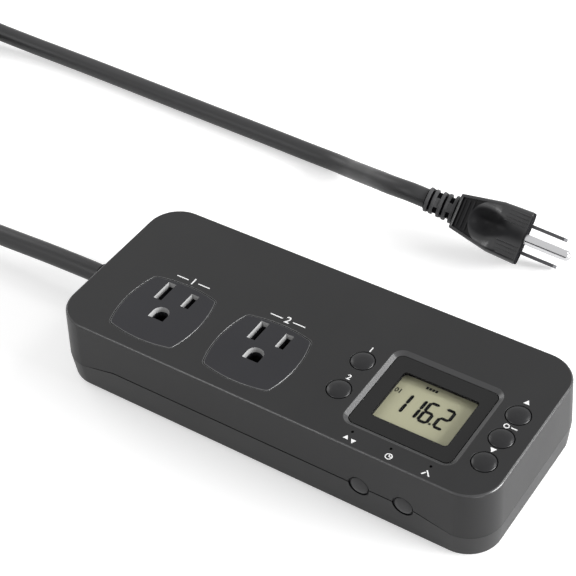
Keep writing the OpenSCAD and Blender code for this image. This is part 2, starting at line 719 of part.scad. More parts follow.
module transformer() translate([mboard_x + 20, mboard_y + 17, mboard_top]) {
    color("#3c3c3e") difference() {
        translate([-9, -3, 1]) cube([18, 6, 12.6]);
        for (s = [-1, 1]) translate([s * 5 - 1.3, -4, 3.4]) cube([2.6, 8, 7.8]);
    }
    color("#d9c46a") translate([-3.6, -6.6, 3.4]) cube([7.2, 13.2, 7.8]);
    color("#1f1f21") translate([-9, -7.5, 0]) cube([18, 15, 1 + e]);
}

module filter_capacitor() color("#2c2f52") translate([mboard_x + 39, mboard_y + 16, mboard_top]) {
    cylinder(r = 5, h = 12.3);
    cylinder(r = 5.2, h = 1.2);
}

module fuse() translate([mboard_x + 59, mboard_y + 11, mboard_top]) {
    color(steel) for (s = [-1, 1]) translate([s * 8, 0, 0]) difference() {
        translate([-2.6, -3.2, 0]) cube([5.2, 6.4, 6.6]);
        translate([-3, 0, 4.4]) rotate([0, 90, 0]) cylinder(r = 2.45, h = 6);
        translate([-3, -1.6, 5]) cube([6, 3.2, 3]);
    }
    color("#e6e6e2") translate([-10, 0, 4.4]) rotate([0, 90, 0]) cylinder(r = 2.4, h = 20);
}

module board_header() color("#1f1f21") translate([mboard_x + 31, mboard_y + 10, mboard_top]) {
    translate([-1.3, -1.3, 0]) cube([2.6, 15.3, 2.5]);
    for (i = [0:5]) translate([-0.35, 2.54 * i - 0.35, 2.5 - e]) cube([0.7, 0.7, board_z - mboard_top - 2.5 + e]);
}

// Push-to-reset breaker: case behind the front wall, neck in the hole of the parting line, two rear tabs
module breaker(k) translate([reset_x[k], breaker_y, reset_z]) {
    color(panel_black) difference() {
        union() {
            translate([-breaker_w / 2, 0, -breaker_h / 2]) cube([breaker_w, breaker_l, breaker_h]);
            rotate([90, 0, 0]) cylinder(r = neck_r, h = wall - 0.3);
        }
        translate([0, 8, 0]) rotate([90, 0, 0]) cylinder(r = neck_bore, h = wall + 12);
    }
    color(steel) for (s = [-1, 1]) translate([s * tab_dx - 0.4, breaker_l - e, -3.15]) cube([0.8, tab_l, 6.3]);
}

module breaker_1() breaker(0);
module breaker_2() breaker(1);

// Reset cap: a round stem with a slightly domed end, flush with the front wall
module reset_cap(k) color(panel_black) translate([reset_x[k], breaker_y + 7.6, reset_z]) rotate([90, 0, 0]) rotate_extrude() {
    r = reset_d / 2;
    h = 7.6 + wall - 0.1;
    d = 0.7;
    R = (r * r + d * d) / (2 * d);
    intersection() {
        union() {
            square([r, h]);
            translate([0, h + d - R]) circle(R, $fn = 200);
        }
        square([r, h + d]);
    }
}

module reset_cap_1() reset_cap(0);
module reset_cap_2() reset_cap(1);

// Round tube swept along points: rings square to the route, spread between an upright and a level direction
function unit(v) = v / norm(v);
function tangent(p, i) = unit(p[min(i + 1, len(p) - 1)] - p[max(i - 1, 0)]);
function curve(p, i, t) = let (
    a = p[max(i - 1, 0)], b = p[i], c = p[i + 1], d = p[min(i + 2, len(p) - 1)])
    0.5 * (2 * b + (c - a) * t + (2 * a - 5 * b + 4 * c - d) * t * t + (3 * b - a - 3 * c + d) * t * t * t);
function route(p, n) = concat([for (i = [0:len(p) - 2], j = [0:n - 1]) curve(p, i, j / n)], [p[len(p) - 1]]);
function ring_of(c, t, r, sides, turn) = let (s = unit(cross(t, [0, 0, 1])), u = cross(s, t))
    [for (k = [0:sides - 1]) let (a = turn + 360 * k / sides) c + r * (cos(a) * s + sin(a) * u)];

module sweep(p, r, sides, turn = 0, first = [], last = []) {
    n = len(p);
    points = [for (i = [0:n - 1]) each ring_of(p[i],
        i == 0 && len(first) > 0 ? first : i == n - 1 && len(last) > 0 ? last : tangent(p, i), r, sides, turn)];
    walls = [for (i = [0:n - 2], k = [0:sides - 1]) let (a = i * sides + k, b = i * sides + (k + 1) % sides)
        each [[a, b, b + sides], [a, b + sides, a + sides]]];
    caps = [for (k = [1:sides - 2]) each [[0, k + 1, k], [(n - 1) * sides, (n - 1) * sides + k, (n - 1) * sides + k + 1]]];
    polyhedron(points, concat(walls, caps));
}

// Wires inside the housing, soldered to tabs, strips and the board
wire_r = 1.4;
module wire(p, first = [], last = []) sweep(route(p, 2), wire_r, 6, 0, first, last);

tab_y = breaker_y + breaker_l + tab_l;
strip_x1 = out_x[0] + blade_gap / 2 + 12;
wire_z = carrier_top + strip_t + wire_r + 0.05;
pad_z = mboard_top + wire_r + 0.05;

module line_wires() color("#1d1d1f") {
    wire([[jacket_x1 + 0.1, cord_y + 1.9, cord_z + 1.4], [jacket_x1 + 6, cord_y + 2.6, cord_z + 1],
          [out_x[0], 14, 10], [out_x[1], 14, 8.6], [mboard_x - 5, 10, 8], [mboard_x - 2, -1, 9.4],
          [mboard_x + 1, mboard_y - 3, 13.4], [reset_x[0] - 14, mboard_y - 5, reset_z],
          [reset_x[0] - tab_dx - 2, tab_y - 0.6, reset_z]], [1, 0, 0]);
    wire([[reset_x[0] - tab_dx + 2, tab_y - 1.6, reset_z], [reset_x[0], tab_y + 1.4, reset_z],
          [reset_x[1] - tab_dx - 4, tab_y + 1.4, reset_z], [reset_x[1] - tab_dx - 2, tab_y - 1.6, reset_z]]);
    for (x = reset_x) wire([[x + tab_dx + 2, tab_y - 1.6, reset_z], [x + tab_dx + 4, tab_y + 1, reset_z - 1],
          [x + tab_dx + 5.4, tab_y + 2.6, pad_z]]);
    wire([[mboard_x + 2, mboard_y + 14, pad_z], [mboard_x - 1, mboard_y + 12, 14],
          [out_x[1] + 22, blade_y + 5, wire_z + 1], [out_x[1] + blade_gap / 2 + 12, blade_y + 1, wire_z]]);
    wire([[mboard_x + 2, mboard_y + 24, pad_z], [mboard_x - 6, mboard_y + 24, 18], [out_x[1] - 5, 12, 21],
          [strip_x1 + 4, 8, 21], [strip_x1 + 2, blade_y + 7, wire_z + 2], [strip_x1 + 0.4, blade_y + 1, wire_z]]);
}

module neutral_wires() color("#e8e8e4") {
    wire([[jacket_x1 + 0.1, cord_y - 1.9, cord_z + 1.4], [jacket_x1 + 3, cord_y - 1.9, cord_z + 2.2],
          [carrier_x0 + 8, bus_y + 2.2, wire_z + 0.6], [carrier_x0 + 14, bus_y + 1.6, wire_z]], [1, 0, 0]);
    wire([[mboard_x + 2, mboard_y + 19, pad_z], [mboard_x - 3, mboard_y + 17, 15],
          [out_x[1] + 8, bus_y + 3, wire_z + 1.6], [out_x[1] - blade_gap / 2, bus_y + 1.6, wire_z]]);
}

// The ground wire crosses under the neutral wire, past the carrier's end
module ground_wire() color("#2f7d3c") wire([[jacket_x1 + 0.1, cord_y, cord_z - 2.1],
    [jacket_x1 + 2, cord_y - 1.4, cord_z - 3.4], [jacket_x1 + 1, 0, cord_z - 4], [jacket_x1 + 0.8, -8, cord_z - 1],
    [jacket_x1 + 2, -15, wire_z], [jacket_x1 + 5, ground_bus_y + 1.4, wire_z], [jacket_x1 + 7, ground_bus_y + 1.4, wire_z]],
    [1, 0, 0]);

// Cord entry
module cord_bushing() color(panel_black) translate([x0, cord_y, cord_z]) rotate([0, 90, 0]) rotate_extrude()
    polygon([[0, -bush_out], [cord_r + 0.7, -bush_out], [cord_r + 0.9, -bush_out + 3], [cord_r + 0.3, -bush_out + 3],
             [cord_r + 0.3, -bush_out + 4.4], [cord_r + 1.2, -bush_out + 4.4], [cord_r + 1.5, -bush_out + 7.4],
             [cord_r + 0.6, -bush_out + 7.4], [cord_r + 0.6, -bush_out + 8.8], [cord_r + 1.9, -bush_out + 8.8],
             [bush_flange, -0.4], [bush_neck, -0.4], [bush_neck, bush_in], [bush_flange, bush_in],
             [bush_flange, bush_in + bush_pad], [0, bush_in + bush_pad]]);

module jacket_end() color("#242426") translate([x0 + bush_in + bush_pad, cord_y, cord_z]) rotate([0, 90, 0])
    cylinder(r = cord_r, h = jacket_x1 - x0 - bush_in - bush_pad);

module cord_clamp() color("#d8d4c8") difference() {
    translate([clamp_x - clamp_w / 2, cord_y - clamp_half, cord_z + 0.2]) cube([clamp_w, 2 * clamp_half, cord_r + 2.2]);
    translate([clamp_x - clamp_w, cord_y, cord_z]) rotate([0, 90, 0]) cylinder(r = cord_r + fit, h = 2 * clamp_w);
    for (s = [-1, 1]) translate([clamp_x, cord_y + s * clamp_screw, cord_z]) {
        cylinder(r = 1.4, h = 9);
        translate([0, 0, 4]) cylinder(r = 3, h = 5);
    }
}

module clamp_screws() color(steel) for (s = [-1, 1])
    translate([clamp_x, cord_y + s * clamp_screw, cord_z + 5.9]) rotate([180, 0, 0]) screw(2.6, 1.8, 1.2, 10);

module board_screws() color(steel) for (s = standoffs)
    translate([mboard_x + s[0], mboard_y + s[1], mboard_top + 1.8]) rotate([180, 0, 0]) screw(2.4, 1.8, 1.1, 5);

module display_screws() color(steel) for (p = dboss) translate([p[0], p[1], board_z - 1.6]) screw(2.2, 1.6, 1, 5);

module case_screws() color(steel) for (p = case_at)
    translate([p[0], p[1], foot_h + well_h - 2.2]) screw(2.9, 2.2, shank_r, 16);

module rubber_feet() color("#151516") for (p = foot_at) translate([p[0], p[1], 0]) {
    cylinder(r1 = foot_r - 0.5, r2 = foot_r, h = foot_h);
    cylinder(r = foot_r - 0.5, h = foot_h + foot_seat);
}

// Cord
module cord_near() color("#242426") sweep(route(near_pts, 3), cord_r, 10, 18, [-1, 0, 0], [-1, 0, 0]);

module cord_far() color("#242426") sweep(route(far_pts, 2), cord_r, 10, 18, [1, 0, 0], plug_dir);

// Coil: winds in on the lower layer, climbs where it turns back, and winds out on the upper layer
function ease(t) = let (s = min(max(t, 0), 1)) s * s * (3 - 2 * s);
function coil_point(t) = let (r = coil_r0 - coil_step * min(t, coil_turns - t), a = -90 - 360 * t)
    [coil_c[0] + r * cos(a), coil_c[1] + r * sin(a), coil_z + coil_layer * ease((t - coil_turns / 2) * 2 + 0.5)];
coil_n = 24 * coil_turns;
coil_pts = [for (i = [0:coil_n]) coil_point(i / 24)];
coil_gap = min([for (i = [0:coil_n - 13], j = [i + 13:coil_n]) norm(coil_pts[i] - coil_pts[j])]) - cord_d;
echo(coil_least_gap_mm = coil_gap);

module cord_coil() color("#242426") sweep(coil_pts, cord_r, 6, 30, [-1, 0, 0], [1, 0, 0]);

module coil_tie() color("#2b2b2e") translate([coil_c[0] - (coil_r0 - coil_step / 4) - cord_r - 0.6, coil_c[1], 0])
    rotate([90, 0, 0]) linear_extrude(12, center = true) difference() {
        w = 2 * coil_step + cord_d + 1.2;
        h = coil_layer + cord_d + 0.3;
        translate([w / 2, h / 2 + tie_t]) rounded(w + 2 * tie_t, h + 2 * tie_t, 4);
        translate([w / 2, h / 2 + tie_t]) rounded(w, h, 3.2);
    }

// Plug, modelled along +X with its front face at the origin and the cord's axis on the X axis
module plug_place() translate(plug_at) rotate([plug_roll, plug_tilt, plug_turn]) children();

// One section of the plug: tight corners on the ground pin's side, round ones behind the blades
module plug_section(x, half, low, high, round_low) translate([x, 0, 0]) rotate([90, 0, 90])
    linear_extrude(e, $fn = 32) for (s = [-1, 1]) {
        translate([s * (half - 2), high - 2]) circle(2);
        translate([s * (half - round_low), low + round_low]) circle(round_low);
    }

// Height of the plug's top over the taper behind its shoulders
function plug_top(x) = plug_high + (plug_rear_high - plug_high) * (-x - shoulder) / (plug_l - shoulder);

// Pocket in the tapered top, between rails along its edges and behind two round lobes
module plug_pocket() intersection() {
    linear_extrude(2 * plug_high) difference() {
        polygon([for (s = [-1, 1], i = [0:2]) let (j = s > 0 ? 2 - i : i) [
            [-plug_l + rail_w, s * (plug_rear - rail_w)],
            [-shoulder - 1, s * (plug_half - shoulder_in - rail_w - 0.3)],
            [-shoulder - 0.5, 0]][j]]);
        translate([-shoulder, 0]) scale([1, 0.86]) circle(plug_half + 0.6, $fn = 48);
    }
    rotate([90, 0, 0]) linear_extrude(3 * plug_half, center = true)
        polygon([[-plug_l, plug_rear_high - rail_h], [-shoulder, plug_high - rail_h], [-shoulder, 2 * plug_high],
                 [-plug_l, 2 * plug_high]]);
}

// Thumb hollow: a round end at the rear, and a groove that rises out of the top towards the pins
module plug_hollow() translate([hollow_x, 0, plug_top(hollow_x) - hollow_depth + hollow_r]) {
    sphere(hollow_r, $fn = 48);
    rotate([0, 90 - hollow_rise, 0]) cylinder(r = hollow_r, h = -hollow_x + 5, $fn = 48);
}

module plug_body() color("#1d1d1f") plug_place() difference() {
    union() {
        hull() {
            plug_section(-e, plug_half, -plug_low, plug_high, 6.4);
            plug_section(-shoulder, plug_half - shoulder_in, 0.2 - plug_low, plug_high, 6.2);
            plug_section(-plug_l, plug_rear, -7.4, plug_rear_high, 4.5);
        }
        for (ring = relief_rings) translate([-plug_l - ring[0] - ring_w / 2, 0, 0]) rotate([0, 90, 0])
            cylinder(r = ring[1], h = ring_w);
        translate([-plug_l - relief_l, 0, 0]) rotate([0, 90, 0]) cylinder(r = cord_r + 0.6, h = relief_l + 2);
    }
    plug_pocket();
    plug_hollow();
    for (s = [-1, 1]) translate([-4, s * blade_gap / 2 - blade_t / 2 - 0.05, blade_low - blade_w / 2 - 0.05])
        cube([5, blade_t + 0.1, blade_w + 0.1]);
    translate([-4, 0, blade_low + ground_drop]) rotate([0, 90, 0]) cylinder(r = pin_shank + 0.05, h = 5);
}

// Folded blade with a chamfered tip and a hole
module plug_blade(s) color(steel) plug_place() translate([-4, s * blade_gap / 2 + blade_t / 2, blade_low])
    rotate([90, 0, 0]) linear_extrude(blade_t) difference() {
        polygon([[0, -blade_w / 2], [blade_l + 2.6, -blade_w / 2], [blade_l + 4, -blade_w / 2 + 1.4],
                 [blade_l + 4, blade_w / 2 - 1.4], [blade_l + 2.6, blade_w / 2], [0, blade_w / 2]]);
        translate([blade_l - 0.6, 0]) circle(1.6);
    }

module plug_blade_line() plug_blade(1);
module plug_blade_neutral() plug_blade(-1);

// Ground pin: a thinner shank in the moulding, and a round end
module plug_ground_pin() color(steel) plug_place() translate([-4, 0, blade_low + ground_drop]) rotate([0, 90, 0]) {
    cylinder(r = pin_shank, h = 4.5);
    translate([0, 0, 4 + pin_neck]) cylinder(r = pin_d / 2, h = pin_l - pin_neck - pin_d / 2);
    translate([0, 0, pin_l + 4 - pin_d / 2]) sphere(pin_d / 2, $fn = 32);
}

top_cover();
bottom_cover();
outlet_face_1();
outlet_face_2();
display_window();
display_frame();
lcd_panel();
contact_strips();
display_board();
control_chip();
indicator_lamps();
tact_switches();
button_outlet_1();
button_outlet_2();
button_up();
button_bypass();
button_down();
plunger_outlet_1();
plunger_outlet_2();
plunger_up();
plunger_bypass();
plunger_down();
line_contact_1();
line_contact_2();
neutral_bus();
ground_bus();
contact_carrier();
carrier_screws();
main_board();
relay_1();
relay_2();
varistors();
safety_capacitor();
transformer();
filter_capacitor();
fuse();
board_header();
breaker_1();
breaker_2();
reset_cap_1();
reset_cap_2();
line_wires();
neutral_wires();
ground_wire();
cord_bushing();
cord_clamp();
clamp_screws();
jacket_end();
board_screws();
display_screws();
case_screws();
rubber_feet();
cord_near();
cord_coil();
cord_far();
coil_tie();
plug_body();
plug_blade_line();
plug_blade_neutral();
plug_ground_pin();
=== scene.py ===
import math

import bmesh
import bpy
from mathutils import Matrix, Vector


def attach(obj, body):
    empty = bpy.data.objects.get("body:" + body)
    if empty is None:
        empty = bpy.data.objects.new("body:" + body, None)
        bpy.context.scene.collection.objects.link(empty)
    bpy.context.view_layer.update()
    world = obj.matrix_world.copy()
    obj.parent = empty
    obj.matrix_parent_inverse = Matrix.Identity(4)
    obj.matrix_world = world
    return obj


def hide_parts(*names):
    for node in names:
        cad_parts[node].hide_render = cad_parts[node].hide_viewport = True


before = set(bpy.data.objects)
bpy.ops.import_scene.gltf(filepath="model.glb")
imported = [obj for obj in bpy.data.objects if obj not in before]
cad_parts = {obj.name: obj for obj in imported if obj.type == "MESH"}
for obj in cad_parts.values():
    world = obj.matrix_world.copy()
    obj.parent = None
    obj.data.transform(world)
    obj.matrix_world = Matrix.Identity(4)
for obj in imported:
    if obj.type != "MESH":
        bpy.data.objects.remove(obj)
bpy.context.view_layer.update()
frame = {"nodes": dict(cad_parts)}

# Sizes of the surge protector, in millimetres as in the part's source
LENGTH, WIDTH, TOP = 202.4, 83.6, 36.0
FOOT, PARTING, ARCH, GAP = 2.0, 13.2, 3.4, 0.6
CORNER, WALL = 14.5, 2.4
ARCH_FLAT, ARCH_FOOT = 70.5, 88.0
OUTLETS = (-61.4, -14.8)
BLADE_LINE = -6.4
FACE_SHIFT = (0.2, -10.4)
DISPLAY = (56.6, -8.6)
BUTTONS = {"outlet_1": (24.0, 0.15), "outlet_2": (24.0, -17.55), "up": (89.65, 5.05),
           "bypass": (89.65, -8.45), "down": (89.65, -21.95)}
LAMPS = (40.2, 57.0, 74.0)
LAMP_LINE = -33.9
RESETS = (47.2, 66.5)
RESET_HEIGHT = 16.6
CORD_ENTRY = (6.8, 13.2)
TOP_SIZE = (200.8, 82.0)
DRAFT_LOW = 1.8
BUTTON_HOLE, PINHOLE, RESET_HOLE, CORD_HOLE = 5.15, 0.6, 4.6, 5.9
LIP_IN, LIP_HIGH = 1.3, 1.8
SCREWS_AT, SCREW_WELL = (90.5, 31.5), 3.4
FEET_AT, FOOT_SEAT = (76.2, 31.0), 6.1
RECESS_HALF, WINDOW_HALF, MASK_HALF = (24.82, 22.82), (22.45, 20.45), (22.3, 20.3)
WINDOW_LOW, WINDOW_TOP, LCD_TOP = 33.3, 34.8, 31.93
GROUND_DROP, BLADE_HALF_GAP, NEUTRAL_SLOT, LINE_SLOT = 11.9, 6.35, 10.8, 8.4
FACE_RADIUS = 21.7
FACE_BOWS = ((-27.4, 0, 45.6), (27.4, 0, 45.6), (0, -41.2, 59), (0, 41.2, 59))
PLUG_AT = Vector((34.9, 120.1, 13.6))
PLUG_TURN, PLUG_TILT, PLUG_ROLL = math.radians(9.3), math.radians(12), math.radians(46.9)
PLUG_LENGTH, RELIEF_LENGTH = 33, 14.8
PLUG_HALF, PLUG_HIGH, PLUG_LOW, PLUG_REAR = 12.2, 12.4, 10, 8
CORD_DIAMETER = 9


# The camera, at the photograph's viewing angle
def place_camera():
    data = bpy.data.cameras.new("photo_camera")
    camera = bpy.data.objects.new("photo_camera", data)
    bpy.context.scene.collection.objects.link(camera)
    right = Vector((0.8355, 0.5472, -0.0505))
    down = Vector((0.3395, -0.5862, -0.7357))
    away = Vector((-0.4321, 0.5975, -0.6755))
    turn = Matrix((right, -down, -away)).transposed().to_4x4()
    camera.matrix_world = Matrix.Translation(Vector((0.2693, -0.3856, 0.4954))) @ turn
    data.sensor_width = 36
    data.lens = 102.97
    data.clip_start = 0.01
    data.clip_end = 50
    bpy.context.scene.camera = camera


# The cord: the route of the part's source, in millimetres
NEAR = [(-115, 6.8, 13.2), (-124, 6.8, 13.2), (-145, 6.8, 12.6), (-160, 6.8, 11.8), (-175, 7, 10.8),
        (-195, 7.6, 9.4), (-220, 9.4, 7.6), (-245, 12, 6.3), (-270, 15.2, 5.6), (-295, 18.2, 5.4),
        (-318, 20, 5.4), (-330, 20, 5.4)]
ALONG = Vector((math.cos(PLUG_TURN) * math.cos(PLUG_TILT), math.sin(PLUG_TURN) * math.cos(PLUG_TILT),
                -math.sin(PLUG_TILT)))
PLUG_END = PLUG_AT - (PLUG_LENGTH + RELIEF_LENGTH) * ALONG
FAR = [(-330, 136, 15), (-318, 136, 15), (-305, 136, 13), (-292, 136, 10), (-270, 137.8, 7.2),
       (-250, 139, 5.6), (-230, 139.3, 4.9), (-210, 139, 4.6), (-180, 138, 4.6), (-150, 137, 4.6),
       (-127, 136.3, 4.6), (-107, 135.6, 4.6), (-88.5, 134.9, 4.6), (-74.6, 133.9, 5.2), (-63.5, 130.5, 7.9),
       (-53.8, 125.2, 12.6), (-45.8, 120.8, 16.6), (-37.9, 116.3, 20.7), (-29.1, 112.8, 23.7),
       tuple(PLUG_END - 8 * ALONG), tuple(PLUG_END)]
COIL_CENTRE, COIL_OUTER, COIL_STEP, COIL_RISE, COIL_TURNS, COIL_LOW = (-330, 78), 58, 9.6, 9.6, 4.5, 5.4


def smooth_route(points, steps):
    points = [Vector(p) for p in points]
    last = len(points) - 1
    line = []
    for i in range(last):
        a, b, c, d = points[max(i - 1, 0)], points[i], points[i + 1], points[min(i + 2, last)]
        for j in range(steps):
            t = j / steps
            line.append(0.5 * (2 * b + (c - a) * t + (2 * a - 5 * b + 4 * c - d) * t * t
                               + (3 * b - a - 3 * c + d) * t ** 3))
    return line + [points[last]]


def coil_point(t):
    radius = COIL_OUTER - COIL_STEP * min(t, COIL_TURNS - t)
    angle = math.radians(-90 - 360 * t)
    s = min(max((t - COIL_TURNS / 2) * 2 + 0.5, 0), 1)
    return Vector((COIL_CENTRE[0] + radius * math.cos(angle), COIL_CENTRE[1] + radius * math.sin(angle),
                   COIL_LOW + COIL_RISE * s * s * (3 - 2 * s)))


def make_cord():
    turns = 36
    coil = [coil_point(i / turns) for i in range(1, int(COIL_TURNS * turns))]
    line = smooth_route(NEAR, 5) + coil + smooth_route(FAR, 5)
    data = bpy.data.curves.new("mains_cord", "CURVE")
    data.dimensions = "3D"
    spline = data.splines.new("POLY")
    spline.points.add(len(line) - 1)
    for point, place in zip(spline.points, line):
        point.co = (*(place * 0.001), 1)
    spline.use_smooth = True
    data.bevel_depth = CORD_DIAMETER / 2000
    data.bevel_resolution = 6
    data.use_fill_caps = True
    cord = bpy.data.objects.new("mains_cord", data)
    bpy.context.scene.collection.objects.link(cord)
    length = sum((b - a).length for a, b in zip(line, line[1:])) * 0.001
    return cord, length


place_camera()
mains_cord, cord_length = make_cord()


# Modelling, as by hand: every size is given in millimetres
def let_go():
    if bpy.context.object and bpy.context.object.mode != "OBJECT":
        bpy.ops.object.mode_set(mode="OBJECT")
    bpy.ops.object.select_all(action="DESELECT")


def hold(*pieces):
    let_go()
    for piece in pieces:
        piece.select_set(True)
    bpy.context.view_layer.objects.active = pieces[0]


def settle(piece):
    hold(piece)
    bpy.ops.object.transform_apply(location=True, rotation=True, scale=True)


def block(name, low, high):
    let_go()
    middle = [(a + b) / 2000 for a, b in zip(low, high)]
    bpy.ops.mesh.primitive_cube_add(size=1, location=middle)
    piece = bpy.context.object
    piece.name = name
    piece.scale = [(b - a) / 1000 for a, b in zip(low, high)]
    settle(piece)
    return piece


def rod(name, start, length, radius, along="Z", sides=48, end_radius=None):
    """A round bar from its start point; along is its direction."""
    let_go()
    step = {"X": (1, 0, 0), "Y": (0, 1, 0), "Z": (0, 0, 1)}[along]
    middle = [(a + b * length / 2) / 1000 for a, b in zip(start, step)]
    turn = {"X": (0, math.pi / 2, 0), "Y": (-math.pi / 2, 0, 0), "Z": (0, 0, 0)}[along]
    far_radius = radius if end_radius is None else end_radius
    bpy.ops.mesh.primitive_cone_add(vertices=sides, radius1=radius / 1000, radius2=far_radius / 1000,
                                    depth=length / 1000, location=middle, rotation=turn)
    piece = bpy.context.object
    piece.name = name
    settle(piece)
    return piece


def pick(piece, kind, wanted):
    """Selects faces, edges or points in edit mode by a test of their place, in millimetres."""
    hold(piece)
    bpy.ops.object.mode_set(mode="EDIT")
    bpy.ops.mesh.select_mode(type={"faces": "FACE", "edges": "EDGE", "points": "VERT"}[kind])
    bpy.ops.mesh.select_all(action="DESELECT")
    form = bmesh.from_edit_mesh(piece.data)
    count = 0
    for part in {"faces": form.faces, "edges": form.edges, "points": form.verts}[kind]:
        if kind == "faces":
            yes = wanted(part.calc_center_median() * 1000, part.normal)
        elif kind == "edges":
            yes = wanted(part.verts[0].co * 1000, part.verts[1].co * 1000)
        else:
            yes = wanted(part.co * 1000)
        if yes:
            part.select_set(True)
            count += 1
    form.select_flush_mode()
    bmesh.update_edit_mesh(piece.data)
    if not count:
        raise RuntimeError(piece.name + ": nothing was picked")


def done():
    bpy.ops.object.mode_set(mode="OBJECT")


def round_edges(piece, width, segments, wanted):
    pick(piece, "edges", wanted)
    bpy.ops.mesh.bevel(offset=width / 1000, offset_type="OFFSET", segments=segments, profile=0.5,
                       affect="EDGES", clamp_overlap=True)
    done()


def grow_faces(piece, wanted, factor):
    """Resizes the picked faces about their own middle."""
    pick(piece, "faces", wanted)
    form = bmesh.from_edit_mesh(piece.data)
    points = [v.co for v in form.verts if v.select]
    middle = sum(points, Vector()) / len(points)
    bpy.ops.transform.resize(value=factor, center_override=middle)
    done()


def cut_across(piece, place, normal):
    hold(piece)
    bpy.ops.object.mode_set(mode="EDIT")
    bpy.ops.mesh.select_all(action="SELECT")
    bpy.ops.mesh.bisect(plane_co=[c / 1000 for c in place], plane_no=normal)
    done()


def apply(piece, kind, **values):
    modifier = piece.modifiers.new(kind.lower(), kind)
    for name, value in values.items():
        setattr(modifier, name, value)
    hold(piece)
    bpy.ops.object.modifier_apply(modifier=modifier.name)


def remove(piece):
    hold(piece)
    bpy.ops.object.delete()


def carve(piece, tool, how="DIFFERENCE"):
    apply(piece, "BOOLEAN", operation=how, solver="EXACT", object=tool)
    remove(tool)


def join(first, *others):
    hold(first, *others)
    bpy.ops.object.join()
    return first


def smooth(piece, angle=32):
    hold(piece)
    bpy.ops.object.shade_smooth_by_angle(angle=math.radians(angle))
    apply(piece, "WEIGHTED_NORMAL", keep_sharp=True)


def tidy_mesh(piece, distance=0.002):
    hold(piece)
    bpy.ops.object.mode_set(mode="EDIT")
    bpy.ops.mesh.select_all(action="SELECT")
    bpy.ops.mesh.remove_doubles(threshold=distance / 1000)
    bpy.ops.mesh.normals_make_consistent(inside=False)
    done()


def upright(a, b):
    return abs(a.x - b.x) < 0.01 and abs(a.y - b.y) < 0.01


# Housing
def rounded_block(name, low, high, corner, segments):
    piece = block(name, low, high)
    round_edges(piece, corner, segments, upright)
    return piece


def raise_parting(piece, level, middle_rise, end_rise):
    """Cuts the long sides at the ends of the arch and lifts the open rim to the parting line."""
    for x in (-ARCH_FOOT, -ARCH_FLAT, ARCH_FLAT, ARCH_FOOT):
        cut_across(piece, (x, 0, 0), (1, 0, 0))
    pick(piece, "points", lambda p: abs(p.z - level) < 0.05 and abs(p.x) < ARCH_FLAT + 0.1)
    bpy.ops.transform.translate(value=(0, 0, (middle_rise - end_rise) / 1000))
    done()
    if end_rise:
        lifted = level + middle_rise - end_rise
        pick(piece, "points", lambda p: abs(p.z - level) < 0.05 or abs(p.z - lifted) < 0.05)
        bpy.ops.transform.translate(value=(0, 0, end_rise / 1000))
        done()


def barrel(name, centre, grow, low, high):
    """The outlet face's outline: four bowed sides, and a round bar that takes the points off its corners."""
    piece = rod(name, (*centre, low), high - low, FACE_RADIUS + grow, sides=160)
    for dx, dy, radius in FACE_BOWS:
        bow = rod("bow", (centre[0] + dx, centre[1] + dy, low - 2), high - low + 4, radius + grow, sides=320)
        carve(piece, bow, "INTERSECT")
    tidy_mesh(piece, 0.004)
    return piece


def make_upper_shell():
    half_l, half_w = LENGTH / 2, WIDTH / 2
    shell = rounded_block("upper_shell", (-half_l, -half_w, PARTING), (half_l, half_w, TOP), CORNER, 16)
    grow_faces(shell, lambda c, n: c.z > TOP - 0.1, (TOP_SIZE[0] / LENGTH, TOP_SIZE[1] / WIDTH, 1))
    round_edges(shell, 1.0, 5, lambda a, b: a.z > TOP - 0.1 and b.z > TOP - 0.1)
    pick(shell, "faces", lambda c, n: n.z < -0.9)
    bpy.ops.mesh.delete(type="FACE")
    done()
    raise_parting(shell, PARTING, ARCH + GAP, 0.12)
    apply(shell, "SOLIDIFY", thickness=WALL / 1000, offset=-1, use_even_offset=True,
          use_quality_normals=True)
    holes = [rod("hole", (x, y, TOP - 5), 8, BUTTON_HOLE, sides=72) for x, y in BUTTONS.values()]
    holes += [rod("hole", (x, LAMP_LINE, TOP - 5), 8, PINHOLE, sides=20) for x in LAMPS]
    holes += [rod("hole", (x, -half_w - 2, RESET_HEIGHT), 8, RESET_HOLE, "Y", 64) for x in RESETS]
    holes.append(rod("hole", (-half_l - 2, *CORD_ENTRY), 8, CORD_HOLE, "X", 64))
    for x in OUTLETS:
        centre = (x + FACE_SHIFT[0], BLADE_LINE + FACE_SHIFT[1])
        holes.append(barrel("hole", centre, 0.25, TOP - 5, TOP + 2))
    holes.append(recess_tool())
    for hole in holes:
        carve(shell, hole)
    tidy_mesh(shell, 0.02)
    on_top = lambda a, b: a.z > TOP - 0.02 and b.z > TOP - 0.02
    for x, y in BUTTONS.values():
        round_edges(shell, 0.35, 3, lambda a, b: on_top(a, b) and ring(a, b, x, y, BUTTON_HOLE))
    for x in OUTLETS:
        cx, cy = x + FACE_SHIFT[0], BLADE_LINE + FACE_SHIFT[1]
        round_edges(shell, 0.38, 3, lambda a, b: on_top(a, b) and within(a, b, cx, cy, 19.4, 18.6))
    round_edges(shell, 0.5, 4, lambda a, b: on_top(a, b) and within(a, b, *DISPLAY, 24.7, 22.7))
    smooth(shell, 30)
    return shell


def ring(a, b, x, y, radius):
    return all(abs(math.hypot(p.x - x, p.y - y) - radius) < 0.1 for p in (a, b))


def within(a, b, x, y, half_x, half_y):
    return all(abs(p.x - x) < half_x and abs(p.y - y) < half_y for p in (a, b)) and (a - b).length < 46


def sunk_tool(tool, taper, depth, run):
    """Makes a cutting tool of a flat block above the face: it narrows as it sinks, then runs straight."""
    pick(tool, "faces", lambda c, n: n.z < -0.9)
    bpy.ops.mesh.inset(thickness=taper / 1000, depth=depth / 1000)
    bpy.ops.mesh.extrude_region_move(TRANSFORM_OT_translate={"value": (0, 0, -run / 1000)})
    done()
    return tool


